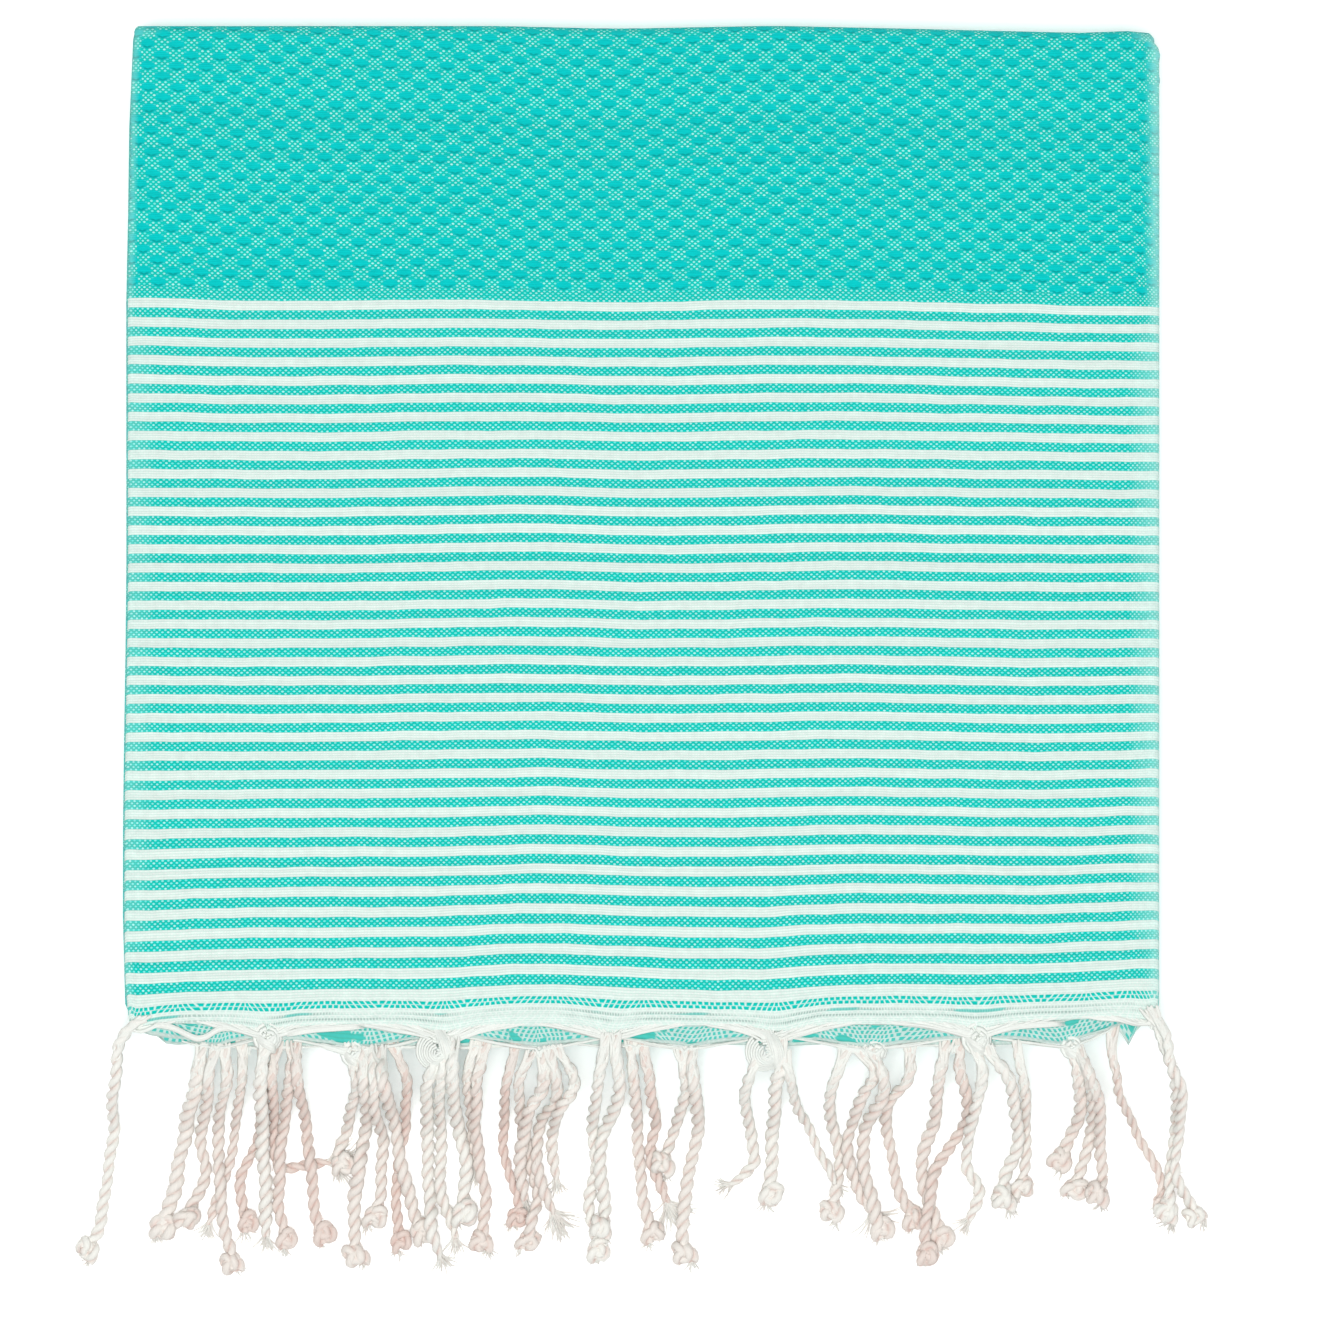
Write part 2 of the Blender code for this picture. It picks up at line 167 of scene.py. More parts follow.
# Soft ridges and troughs left by older folds and by the layers below:
# middle x, y, heading in degrees, length, width, height
CREASES = (
    (-118.0, 60.0, 84.0, 150.0, 16.0, 0.30),
    (-62.0, -40.0, 97.0, 190.0, 22.0, -0.34),
    (-8.0, 10.0, 90.0, 260.0, 14.0, -0.42),
    (38.0, -70.0, 82.0, 150.0, 20.0, 0.36),
    (96.0, 30.0, 93.0, 180.0, 24.0, -0.28),
    (132.0, -96.0, 70.0, 110.0, 18.0, 0.34),
    (-20.0, 78.0, 3.0, 240.0, 12.0, 0.22),
    (40.0, -128.0, -2.0, 260.0, 14.0, 0.26),
    (-128.0, -120.0, 12.0, 90.0, 16.0, -0.30),
)


def smooth(value, start, end):
    """0 before start, 1 past end, and a soft step between them."""
    share = np.clip((value - start) / (end - start), 0.0, 1.0)
    return share * share * (3 - 2 * share)


def eased(x, table):
    """A value from a table of places and values, with soft steps between the rows."""
    places, values = (np.asarray(column, dtype=float) for column in table)
    x = np.clip(x, places[0], places[-1])
    after = np.clip(np.searchsorted(places, x), 1, len(places) - 1)
    share = (x - places[after - 1]) / (places[after] - places[after - 1])
    share = share * share * (3 - 2 * share)
    return values[after - 1] + (values[after] - values[after - 1]) * share


def flowing(x, places, values):
    """Values between the places of a table, on one smooth curve. The values may differ for each x."""
    places, values = np.asarray(places, dtype=float), np.asarray(values, dtype=float)
    if values.ndim == 1:
        values = np.repeat(values[:, None], len(x), axis=1)
    slopes = np.gradient(values, places, axis=0)
    x = np.clip(x, places[0], places[-1])
    after = np.clip(np.searchsorted(places, x), 1, len(places) - 1)
    width = places[after] - places[after - 1]
    t, each = (x - places[after - 1]) / width, np.arange(len(x))
    level = (1 + 2 * t) * (1 - t) ** 2 * values[after - 1, each] + t**2 * (3 - 2 * t) * values[after, each]
    return level + width * t * (1 - t) * ((1 - t) * slopes[after - 1, each] - t * slopes[after, each])


def settle(x, y, z):
    """Turns the even stack into the uneven one. The table stays at height 0."""
    near_hem = 1 - smooth(-y, *SAG_ENDS)
    dip = smooth(y, DIPS_FROM_Y, BACK_Y) * np.interp(x, *BACK_EDGE)
    bow = near_hem * smooth(-x, -BOWS_FROM_X, -FOLDED_LEFT) * np.interp(y, *LEFT_EDGE)
    corner = smooth(x, FOLDED_RIGHT - CORNER_SIZE, FOLDED_RIGHT) * smooth(y, BACK_Y - CORNER_SIZE, BACK_Y)
    lower = SAG * near_hem * (x / FOLDED_RIGHT) ** 2 * smooth(-y, -BACK_Y, BACK_Y)
    return x + bow - corner * CORNER_IN, y + dip - corner * CORNER_IN, z * (1 - lower)


def run_height(run):
    """Height of the middle of a packet. Run 0 is the top one."""
    return LAYER_PITCH + CLOTH_THICK / 2 + (RUNS - 1 - run) * RUN_PITCH


def across_fold(u):
    """x, height, normal's x and height, and how far the layer is face, at lengths across the sheet."""
    left_turn = (u - TO_LEFT_FOLD) / (TO_FACE - TO_LEFT_FOLD) * math.pi
    right_turn = (u - TO_RIGHT_FOLD) / (TO_UNDER - TO_RIGHT_FOLD) * math.pi
    where = [u < TO_LEFT_FOLD, u < TO_FACE, u < TO_RIGHT_FOLD, u < TO_UNDER]
    small = LAYER_PITCH / 2
    x = np.select(
        where,
        [
            SELVEDGE_MIDDLE_X - u,
            LEFT_CENTRE - small * np.sin(left_turn),
            LEFT_CENTRE + u - TO_FACE,
            RIGHT_CENTRE + LAYER_PITCH * np.sin(right_turn),
        ],
        RIGHT_CENTRE - (u - TO_UNDER),
    )
    height = np.select(
        where,
        [0 * u, small - small * np.cos(left_turn), 0 * u + LAYER_PITCH, LAYER_PITCH * np.cos(right_turn)],
        -LAYER_PITCH,
    )
    normal_x = np.select(where, [0 * u, -np.sin(left_turn), 0 * u, np.sin(right_turn)], 0.0)
    normal_up = np.select(where, [0 * u - 1, -np.cos(left_turn), 0 * u + 1, np.cos(right_turn)], -1.0)
    return x, height, normal_x, normal_up


def hem_line(x, layer):
    """The y of one layer's hem at x."""
    if layer == "middle":
        return eased(x, MIDDLE_HEM)
    if layer == "under":
        return eased(x, UNDER_HEM)
    nearest = np.min(np.abs(np.subtract.outer(x, np.array(FACE_KNOTS_X))), axis=-1)
    return np.interp(x, *FACE_HEM) + SCALLOP_RISE - SCALLOP_DIP * np.exp(-((nearest / SCALLOP_WIDE) ** 2))


def hems_across(u, x):
    """The y of the visible hem and of the hidden one, at lengths across the sheet."""
    left = smooth(u, TO_LEFT_FOLD, TO_FACE)
    right = smooth(u, TO_RIGHT_FOLD, TO_UNDER)
    visible = hem_line(x, "middle") * (1 - left) + np.interp(x, *FACE_HEM) * left * (1 - right)
    visible += hem_line(x, "under") * right
    hidden = HIDDEN_HEM_Y["middle"] * (1 - left) + HIDDEN_HEM_Y["face"] * left * (1 - right)
    return visible, hidden + HIDDEN_HEM_Y["under"] * right


def along_stations():
    """The runs and turns along the sheet: start, end, kind, run. The first run starts at the visible hem."""
    stations, at = [], 0.0
    places = [MEAN_HEM_Y, *TURNS_Y, MEAN_HIDDEN_HEM_Y]
    for run in range(RUNS):
        length = abs(places[run + 1] - places[run])
        stations.append((at, at + length, "run", run))
        at += length
        if run < RUNS - 1:
            stations.append((at, at + math.pi * RUN_PITCH / 2, "turn", run))
            at += math.pi * RUN_PITCH / 2
    return stations


STATIONS = along_stations()
FIRST_RUN, SHEET_LONG = STATIONS[0][1], STATIONS[-1][1]


def along_fold(v, visible_hem, hidden_hem):
    """y, z, normal's y and z and the run, at lengths along the sheet."""
    y, z, normal_y, normal_z, run_at = (np.zeros_like(v) for _ in range(5))
    for start, end, kind, run in STATIONS:
        here = (v >= start) & (v <= end)
        share = (v[here] - start) / (end - start)
        heading = 1.0 if run % 2 == 0 else -1.0
        if kind == "run":
            begins = visible_hem[here] if run == 0 else TURNS_Y[run - 1]
            ends = hidden_hem[here] if run == RUNS - 1 else TURNS_Y[run]
            y[here] = begins + (ends - begins) * share
            z[here] = run_height(run)
            normal_y[here], normal_z[here], run_at[here] = 0.0, heading, run
        else:
            out, lift = np.sin(share * math.pi), np.cos(share * math.pi)
            y[here] = TURNS_Y[run] + heading * out * RUN_PITCH / 2
            z[here] = run_height(run) - RUN_PITCH / 2 + lift * RUN_PITCH / 2
            normal_y[here], normal_z[here], run_at[here] = out, lift * heading, run + share
    return y, z, normal_y, normal_z, run_at


def stripe_wander(x, y):
    """How far the stripes lie towards the hem."""
    return flowing(y, WAVES_Y, [flowing(x, WAVES_X, row) for row in WAVES])


def woven_length(y):
    """Length along the cloth from its hem, at a place y on the face layer."""
    stripe = (FIRST_STRIPE_Y - y) / STRIPE_REPEAT - LOOSER * np.maximum(0.0, LOOSER_FROM_Y - y) ** 2
    return np.where(y > BAND_Y, BAND_WIDE + (STRIPES - stripe) * STRIPE_REPEAT, BAND_WIDE + y - BAND_Y)


FIELD_AT_TURN = float(woven_length(np.array(TURNS_Y[0])))
WOVEN_LONG = FIELD_AT_TURN + SHEET_LONG - FIRST_RUN


def creases(x, y):
    """Height of the soft ridges and troughs of the face."""
    height = 0 * x
    for middle_x, middle_y, heading, length, width, rise in CREASES:
        turn = math.radians(heading)
        along = (x - middle_x) * math.cos(turn) + (y - middle_y) * math.sin(turn)
        aside = (y - middle_y) * math.cos(turn) - (x - middle_x) * math.sin(turn)
        height += rise * np.exp(-((along / length * 2) ** 2) - (aside / width) ** 2)
    return height


def honeycomb_relief(across, woven):
    """How far the float blocks puff up from the dotted ones."""
    pick = (STRIPES - (woven - BAND_WIDE) / STRIPE_REPEAT) * PICKS_A_STRIPE + PICK_ZERO
    column = across / WARP_PITCH / BLOCK
    turned = np.floor(column) % 2
    repeat = ((pick - FIELD_ENDS) / FIELD_REPEAT + 0.5 * turned) % 1.0
    inside = np.clip((repeat - DOTTED_SHARE) / (1 - DOTTED_SHARE), 0.0, 1.0)
    puff = np.sin(math.pi * inside) * np.sin(math.pi * (column % 1.0))
    return puff**2 * smooth(-pick, -FIELD_ENDS, 3.0 - FIELD_ENDS)


def fold_cloth(u, v, lift):
    """Places and woven coordinates of points of the sheet. lift is how far they are off its middle."""
    x, height, normal_x, normal_up = across_fold(u)
    visible_hem, hidden_hem = hems_across(u, x)
    y, z, normal_y, normal_z, run = along_fold(v, visible_hem, hidden_hem)
    first_run = v <= FIRST_RUN
    plain_hem = np.interp(x, *FACE_HEM)
    scallop = hem_line(x, "face") - plain_hem
    is_face = (u > TO_FACE) & (u < TO_RIGHT_FOLD)
    y = y + np.where(is_face & first_run, scallop * np.clip(1 - v / SCALLOP_LONG, 0.0, 1.0) ** 2, 0.0)
    # The face's weave passes into the lower layers' within 25 mm of a side fold, and within 7 mm at the hem
    reach = 25.0 - 18.0 * np.where(first_run, np.clip(1 - v / 30.0, 0.0, 1.0), 0.0)
    face = smooth((u - TO_FACE) / reach, -1.0, 0.0) * (1 - smooth((u - TO_RIGHT_FOLD) / reach, 0.0, 1.0))

    # The woven coordinates: across the warp and along it
    y_plain = plain_hem + (TURNS_Y[0] - plain_hem) * v / FIRST_RUN
    # At the right fold the field's rows bend towards the hem
    turning = 1.6 * smooth(x, 157.0, 168.0) * smooth(y_plain, 60.0, 90.0)
    turning = turning * (1 - smooth(y_plain, 146.0, 157.0))
    on_face = woven_length(y_plain + stripe_wander(x, y_plain) + turning)
    # The lower layers turn their white band under, so they show turquoise almost to the hem
    on_others = np.interp(v, (*LOWER_BAND[0], FIRST_RUN), (*LOWER_BAND[1], FIELD_AT_TURN))
    past = v - FIRST_RUN
    carried = stripe_wander(x, np.full_like(x, TURNS_Y[0])) * face * (1 - smooth(past, 0.0, 90.0))
    woven = np.where(first_run, on_face * face + on_others * (1 - face), FIELD_AT_TURN + past + carried)
    # The warp leans a little, more in the honeycomb than among the stripes
    lean = np.where(y > FIRST_STRIPE_Y, 0.07 * (TURNS_Y[0] - y), 5.93 + 0.02 * (FIRST_STRIPE_Y - y))
    # Towards the right fold the cloth turns down, so more of it shows in less width
    squeezed = 3.4 * smooth(u, TO_RIGHT_FOLD - 10.0, TO_RIGHT_FOLD + 3.0) ** 2
    squeezed -= 1.2 * (1 - smooth(u, TO_FACE - 2.0, TO_FACE + 6.0)) ** 2
    across = u + squeezed - np.where(first_run, lean, 0.0) + ACROSS_ZERO

    # Near a hem the warp is drawn together towards the knots, on the lower layers more than on the face
    near_visible = np.where(first_run, np.clip(1 - v / DRAWN_IN_LONG, 0.0, 1.0) ** 2, 0.0)
    for here, places, share in ((is_face, FACE_KNOTS_X, 0.34), (~is_face, MIDDLE_KNOTS_X, 0.5)):
        gaps = np.subtract.outer(np.array(places), x)
        nearest = gaps[np.argmin(np.abs(gaps), axis=0), np.arange(len(x))]
        pull = nearest * np.exp(-((nearest / DRAWN_IN_WIDE) ** 2)) * share
        x = x + np.where(here, pull, 0.0) * near_visible

    relief = RELIEF_HIGH * honeycomb_relief(across, np.minimum(woven, WOVEN_LONG - woven))
    lift = lift + np.where(lift > 0, relief * (run < 0.5), 0.0)
    x = x + np.interp(run, range(RUNS), RUN_SHIFTS_X) + lift * normal_x
    packet = height + lift * normal_up
    # Round the first back fold the outer layers have further to go
    rounded = np.clip(past / (math.pi * RUN_PITCH / 2), 0.0, 1.0) * math.pi
    woven = woven + packet * rounded * (1 - smooth(past, 12.0, 150.0))
    x, y, z = settle(x, y + packet * normal_y, z + packet * normal_z)
    high = smooth(z, 6.0, 26.0)
    z = z + creases(x, y) * high
    z = z - EDGES_DROP * high * (smooth(x, 154.0, 168.0) ** 2 + 0.7 * smooth(-x, 158.0, 168.5) ** 2)
    return np.stack([x, y, z], axis=1), np.stack([across, woven], axis=1)


# Strength of the painted highlight along the right and the left side fold
HIGHLIGHT_RIGHT, HIGHLIGHT_LEFT = 0.34, 0.16


def fold_highlight_strength(u):
    """How much painted highlight lightens the cloth towards the two side folds."""
    right = smooth(u, TO_RIGHT_FOLD - 4.5, TO_RIGHT_FOLD + 1.5) ** 2
    right = right * (1 - smooth(u, TO_UNDER - 1.5, TO_UNDER))
    left = smooth(-u, -TO_FACE - 1.5, -TO_FACE + 0.5) * smooth(u, TO_LEFT_FOLD - 0.5, TO_LEFT_FOLD + 0.5)
    return HIGHLIGHT_RIGHT * right + HIGHLIGHT_LEFT * left


def stretches(edges, steps):
    """Places along several stretches, each cut in its own number of steps."""
    places = [np.linspace(edges[i], edges[i + 1], steps[i] + 1)[:-1] for i in range(len(steps))]
    return np.concatenate([*places, [edges[-1]]])


FINE_HEM, FINE_FIELD = 20.0, 228.0  # the mesh is finer before the one length from the hem and past the other


def cloth_slab():
    """The unfolded sheet as a closed slab: across, along and lift are its coordinates."""
    edges = [0, TO_LEFT_FOLD - 40.0, TO_LEFT_FOLD, TO_FACE, TO_RIGHT_FOLD, TO_UNDER, TO_UNDER + 20.0]
    edges += [SHEET_WIDE - 24.0, SHEET_WIDE]
    across = stretches(edges, [22, 8, 8, 42, 10, 10, 20, 8])
    edges, steps = [0.0, FINE_HEM, FINE_FIELD, FIRST_RUN], [8, 22, 11]
    for _, end, kind, _ in STATIONS[1:]:
        edges.append(end)
        steps.append(8 if kind == "turn" else 11)
    along = stretches(edges, steps)
    shape = bmesh.new()
    low, high = (
        [[shape.verts.new((u, v, lift)) for v in along] for u in across]
        for lift in (-CLOTH_THICK / 2, CLOTH_THICK / 2)
    )
    last_u, last_v = len(across) - 1, len(along) - 1
    for i in range(last_u):
        for j in range(last_v):
            shape.faces.new((high[i][j], high[i + 1][j], high[i + 1][j + 1], high[i][j + 1]))
            shape.faces.new((low[i][j], low[i][j + 1], low[i + 1][j + 1], low[i + 1][j]))
    for i in range(last_u):
        for j, turned in ((0, False), (last_v, True)):
            ring = [low[i][j], low[i + 1][j], high[i + 1][j], high[i][j]]
            shape.faces.new(ring[::-1] if turned else ring)
    for j in range(last_v):
        for i, turned in ((0, True), (last_u, False)):
            ring = [low[i][j], low[i][j + 1], high[i][j + 1], high[i][j]]
            shape.faces.new(ring[::-1] if turned else ring)
    refine(shape, lambda u, v: TO_FACE < u < TO_RIGHT_FOLD and v < FINE_HEM, 3)
    refine(shape, lambda u, v: TO_FACE < u < TO_RIGHT_FOLD and FINE_FIELD < v < FIRST_RUN, 10)
    refine(shape, lambda u, v: TO_RIGHT_FOLD + 0.5 < u < TO_UNDER and -17.0 < v - FIRST_RUN < 4.0, 5)
    return shape


def refine(shape, wanted, cuts):
    """Cuts faces of the sheet's upper side finer, where the relief or a round corner needs it."""
    edges = set()
    for face in shape.faces:
        u, v, lift = face.calc_center_median()
        if lift > CLOTH_THICK * 0.49 and wanted(u, v):
            edges.update(face.edges)
    bmesh.ops.subdivide_edges(shape, edges=list(edges), cuts=cuts, use_grid_fill=True)


# ------------------------------------------------------------------------------------------- materials


def linear(hex_colour):
    """An sRGB hex colour as linear red, green, blue and alpha."""
    shares = [int(hex_colour[i : i + 2], 16) / 255 for i in (1, 3, 5)]
    return (*[s / 12.92 if s <= 0.04045 else ((s + 0.055) / 1.055) ** 2.4 for s in shares], 1.0)


def add(tree, kind, *values, named=None, **settings):
    """Adds a node and returns its first output. A kind such as "Math ADD" names the node and its operation or
    data. Values are sockets to link or constants, for the open inputs in order or by name."""
    kind, _, choice = kind.partition(" ")
    family = "ShaderNode" if hasattr(bpy.types, "ShaderNode" + kind) else "GeometryNode"
    node = tree.nodes.new(family + kind)
    if choice:
        settings["operation" if hasattr(node, "operation") else "data_type"] = choice
    for name, value in settings.items():
        setattr(node, name, value)
    open_inputs = [socket for socket in node.inputs if socket.enabled]
    by_name = [(node.inputs[name], value) for name, value in (named or {}).items()]
    for socket, value in [*zip(open_inputs, values), *by_name]:
        if isinstance(value, bpy.types.NodeSocket):
            tree.links.new(value, socket)
        elif value is not None:
            socket.default_value = value
    return next((socket for socket in node.outputs if socket.enabled), None)


def blank_material(name, **finish):
    """A new material, a short way to add nodes to it, and one to link a socket to its shader."""
    material = bpy.data.materials.new(name)
    material.use_nodes = True
    tree = material.node_tree
    sockets = tree.nodes["Principled BSDF"].inputs
    for socket, value in finish.items():
        sockets[socket.replace("_", " ")].default_value = value
    return material, partial(add, tree), lambda output, name: tree.links.new(output, sockets[name])


def woven_cotton(sizes):
    """Turquoise weft over white warp: the eye sees dotted blocks and plain floats, dull and a bit hairy."""
    material, node, to_shader = blank_material(
        "Woven cotton, honeycomb and plain weave",
        Roughness=0.86, IOR=1.46, Specular_IOR_Level=0.08, Sheen_Weight=0.04, Sheen_Roughness=0.5,
    )

    def in_row(value):
        """Where a point lies in its row, from -0.5 to 0.5."""
        return node("Math SUBTRACT", node("Math FRACT", value), 0.5)

    def apart(value, centre):
        """How far a value is from a centre."""
        return node("Math ABSOLUTE", node("Math SUBTRACT", value, centre))

    def blotches(place, scale, detail=1.0):
        """Soft noise that is stretched by its scale along each axis."""
        noise = {"Vector": node("VectorMath MULTIPLY", place, scale), "Scale": 1.0, "Detail": detail}
        return node("TexNoise", named=noise, noise_dimensions="2D")

    place = node("UVMap", uv_map="weave")
    flat = node("VectorMath MULTIPLY", place, (1000.0, 1000.0, 0.0))

    # Yarns wander by a few tenths of a millimetre over 10 to 20 mm
    drift = node("TexNoise", named={"Vector": flat, "Scale": 0.07, "Detail": 2.0}, noise_dimensions="2D").node
    moved = node("VectorMath SUBTRACT", drift.outputs["Color"], (0.5, 0.5, 0.5))
    moved = node("VectorMath MULTIPLY_ADD", moved, (1.1, 0.7, 0.0), flat)
    split = node("SeparateXYZ", moved).node
    x, y = split.outputs[0], split.outputs[1]

    # Length from the nearer hem, then the stripe count and the pick count from it
    length = node("Math MINIMUM", y, node("Math SUBTRACT", WOVEN_LONG, y))
    stripe = node("Math MULTIPLY_ADD", length, -1 / STRIPE_REPEAT, STRIPES + BAND_WIDE / STRIPE_REPEAT)
    picks = node("Math MULTIPLY_ADD", stripe, PICKS_A_STRIPE, PICK_ZERO)
    warps = node("Math DIVIDE", x, WARP_PITCH)
    pick, warp = node("Math FLOOR", picks), node("Math FLOOR", warps)
    in_warp = in_row(warps)
    off_warp = node("Math ABSOLUTE", in_warp)

    # Honeycomb: blocks of five warps, dotted for five picks and floating for five, half a drop apart
    in_field = node("Math LESS_THAN", picks, FIELD_ENDS)
    columns = node("Math DIVIDE", warps, BLOCK)
    column = node("Math FLOOR", columns)
    off_column = apart(node("Math SUBTRACT", columns, column), 0.5)
    half_drop = node("Math MULTIPLY", node("Math MODULO", column, 2.0), 0.5)
    from_field = node("Math SUBTRACT", picks, FIELD_ENDS)
    repeat = node("Math FRACT", node("Math MULTIPLY_ADD", from_field, 1 / FIELD_REPEAT, half_drop))
    dotted_row = node("Math MULTIPLY", repeat, BLOCK / DOTTED_SHARE)
    to_floats = BLOCK - BLOCK * DOTTED_SHARE / (1 - DOTTED_SHARE)
    float_row = node("Math MULTIPLY_ADD", repeat, BLOCK / (1 - DOTTED_SHARE), to_floats)
    rows = node("Mix FLOAT", in_field, from_field, node("Math MAXIMUM", dotted_row, float_row))
    row = node("Math FLOOR", rows)
    in_pick = node("Math SUBTRACT", node("Math SUBTRACT", rows, row), 0.5)
    block_start = node("Math MULTIPLY", node("Math MULTIPLY", column, in_field), -BLOCK)
    warp_in_block = node("Math ADD", warp, block_start)
    warp_up = node("Math MODULO", node("Math ADD", row, warp_in_block), 2.0)
    floats = node("Math MULTIPLY", node("Math GREATER_THAN", rows, BLOCK), in_field)

    # Weft colour: white for the first half of each stripe repeat and in the hem band
    second_half = node("Math GREATER_THAN", node("Math FRACT", stripe), 0.5)
    coloured = node("Math MAXIMUM", second_half, node("Math LESS_THAN", stripe, 0.0))
    coloured = node("Math MULTIPLY", coloured, node("Math LESS_THAN", stripe, STRIPES - 0.1))

    # The warp shows as an oval dot where it passes over
    wide, tall = node("Math DIVIDE", in_warp, 0.47), node("Math DIVIDE", in_pick, 0.45)
    oval = node("Math MULTIPLY_ADD", tall, tall, node("Math MULTIPLY", wide, wide))
    dot = node("Math MULTIPLY", node("MapRange", oval, 0.62, 1.2, 1.0, 0.0), warp_up)
    # Among the floats only the outer warps of a block show, in its first and last pick
    first_float = node("Math MULTIPLY", node("Math COMPARE", row, BLOCK, 0.1), 0.15)
    outer = node("Math MULTIPLY_ADD", node("Math COMPARE", row, 2 * BLOCK - 1, 0.1), 0.25, first_float)
    outer = node("Math MULTIPLY", node("Math GREATER_THAN", off_column, 0.3), outer)
    dot = node("Math MULTIPLY", dot, node("Mix FLOAT", floats, 1.0, outer))

    # Beside the hem the weave is looser: short dabs of weft in an open net of warp, on the lower layers torn
    # open in places
    loose = node("MapRange", stripe, STRIPES - 0.72, STRIPES - 0.6, 0.0, 1.0)
    middle_layer = node("Math LESS_THAN", x, TO_FACE + 7.0)
    under_layer = node("Math GREATER_THAN", x, TO_RIGHT_FOLD + 15.0)
    lower_layers = node("Math ADD", middle_layer, under_layer)
    dab_rows = node("Math DIVIDE", node("Math SUBTRACT", length, BAND_WIDE + 0.95), DAB_ROW)
    fine_rows = node("Math DIVIDE", node("Math SUBTRACT", length, BAND_WIDE), FINE_DAB_ROW)
    dab_rows = node("Mix FLOAT", lower_layers, dab_rows, fine_rows)
    dab_turn = node("Math MULTIPLY", node("Math MODULO", node("Math FLOOR", dab_rows), 2.0), 0.5)
    dab_columns = node("Math MULTIPLY_ADD", warps, 0.5, dab_turn)
    # They lean to one side in some stretches and to the other in others
    lean = node("MapRange", blotches(flat, (0.07, 0.0, 0.0)), 0.42, 0.58, -0.45, 0.45)
    dab_columns = node("Math MULTIPLY_ADD", node("Math FRACT", dab_rows), lean, dab_columns)
    off_dab = node("Math MULTIPLY_ADD", lower_layers, 0.08, node("Math ABSOLUTE", in_row(dab_columns)))
    off_dab_row = node("Math MULTIPLY_ADD", lower_layers, 0.06, node("Math ABSOLUTE", in_row(dab_rows)))
    dab = node("MapRange", off_dab, 0.27, 0.43, 1.0, 0.0)
    dab = node("Math MULTIPLY", dab, node("MapRange", off_dab_row, 0.34, 0.5, 1.0, 0.0))
    # On the face only two rows of them are turquoise
    past_rows = node("Math GREATER_THAN", apart(length, BAND_WIDE + 2.1), DAB_ROW)
    past_rows = node("Math MULTIPLY", past_rows, loose)
    past_rows = node("Math SUBTRACT", past_rows, lower_layers, use_clamp=True)
    coloured = node("Math SUBTRACT", coloured, past_rows, use_clamp=True)
    torn = node("MapRange", blotches(flat, (0.085, 0.35, 0.0)), 0.6, 0.65, 0.0, 1.0)
    dab = node("Math MAXIMUM", dab, node("Math MULTIPLY", torn, lower_layers))
    dot = node("Mix FLOAT", loose, dot, node("Math SUBTRACT", 0.92, dab, use_clamp=True))

    # Openwork: two rows of small gaps in the white band, open in some stretches and shut in others
    stretch = blotches(flat, (0.045, 0.16, 0.0), 2.0)
    open_share = node("MapRange", stretch, 0.38, 0.58, 0.2, 1.0)
    off_upper, off_lower = (apart(length, row_at) for row_at in GAP_ROWS)
    gap_row = node("MapRange", node("Math MINIMUM", off_upper, off_lower), 0.2, 0.6, 1.0, 0.0)
    between = node("MapRange", off_warp, 0.1, 0.26, 0.2, 1.0)
    # The holes are real, and where one is open the shade seen through it is painted in
    shaded_hole = node("Math MULTIPLY", node("Math MULTIPLY", gap_row, between), open_share)
    slit = node("MapRange", stretch, 0.61, 0.66, 0.0, 1.0)
    slit = node("Math MULTIPLY", slit, node("MapRange", off_upper, 0.25, 0.7, 1.0, 0.0))

    # Painted shade in the gaps between picks, and the painted shadow under each float block
    off_pick = node("Math ABSOLUTE", in_pick)
    pick_gap_shade = node("MapRange", off_pick, 0.26, 0.5, 0.0, 1.0)
    # It is deepest in a V whose point is the middle of the last float
    off_vee = apart(node("Math MULTIPLY_ADD", off_column, 3.0, rows), 9.55)
    shadow = node("MapRange", off_vee, 0.2, 0.75, 0.72, 0.0)
    inner_warps = node("MapRange", off_column, 0.2, 0.46, 1.0, 0.0)
    shadow = node("Math MULTIPLY", node("Math MULTIPLY", shadow, inner_warps), floats)

    # The weft, darker where shade is painted between picks; the floats have their own turquoise with fainter
    # painted
    #     # shade between picks, and the painted shadow under them
    white, turquoise = tuple(sizes.white), tuple(sizes.turquoise)
    weft = node("Mix RGBA", coloured, white, turquoise)
    shaded_weft = node("Mix RGBA", coloured, linear("#C2DED6"), linear("#0DB09A"))
    weft = node("Mix RGBA", node("Math MULTIPLY", pick_gap_shade, 0.75), weft, shaded_weft)
    float_colour = node("Mix RGBA", node("Math MULTIPLY", pick_gap_shade, 0.3), linear("#02C2C0"), linear("#03A8A1"))
    weft = node("Mix RGBA", floats, weft, float_colour)
    weft = node("Mix RGBA", node("Math MULTIPLY", shadow, 0.8), weft, linear("#067E7A"))

    # Among dyed yarn the thin white warp takes on a tinge of it
    dot_tone = blotches(node("CombineXYZ", warps, picks, 0.0), (0.37, 0.53, 0.0), 2.0)
    dot_tone = node("MapRange", dot_tone, 0.35, 0.65, 0.0, 1.0)
    tinged = node("Mix RGBA", dot_tone, linear("#62DCD5"), linear("#A6E8E4"))
    dense = node("Math SUBTRACT", coloured, node("Math MULTIPLY", loose, 0.85), use_clamp=True)
    colour = node("Mix RGBA", dot, weft, node("Mix RGBA", dense, tuple(sizes.warp), tinged))

    # Painted shade in the openwork holes, turquoise slits, painted shade on the lower layers that less light
    # reaches, and a painted highlight along the side folds
    # Painted shade on the loose weave of the lower layers, which lie lower and get less light
    lower_layer_shade = node("Math MULTIPLY", node("Math MULTIPLY", lower_layers, loose), 0.3)
    # Painted highlight along the side folds
    fold_highlight = node("Attribute", attribute_name="fold_highlight").node.outputs["Fac"]
    for share, tint in (
        (node("Math MULTIPLY", shaded_hole, 0.62), "#76978F"),
        (node("Math MULTIPLY", slit, 0.7), "#35BCB1"),
        (lower_layer_shade, "#7FA8A2"),
        (fold_highlight, "#D4FBF4"),
    ):
        colour = node("Mix RGBA", share, colour, linear(tint))

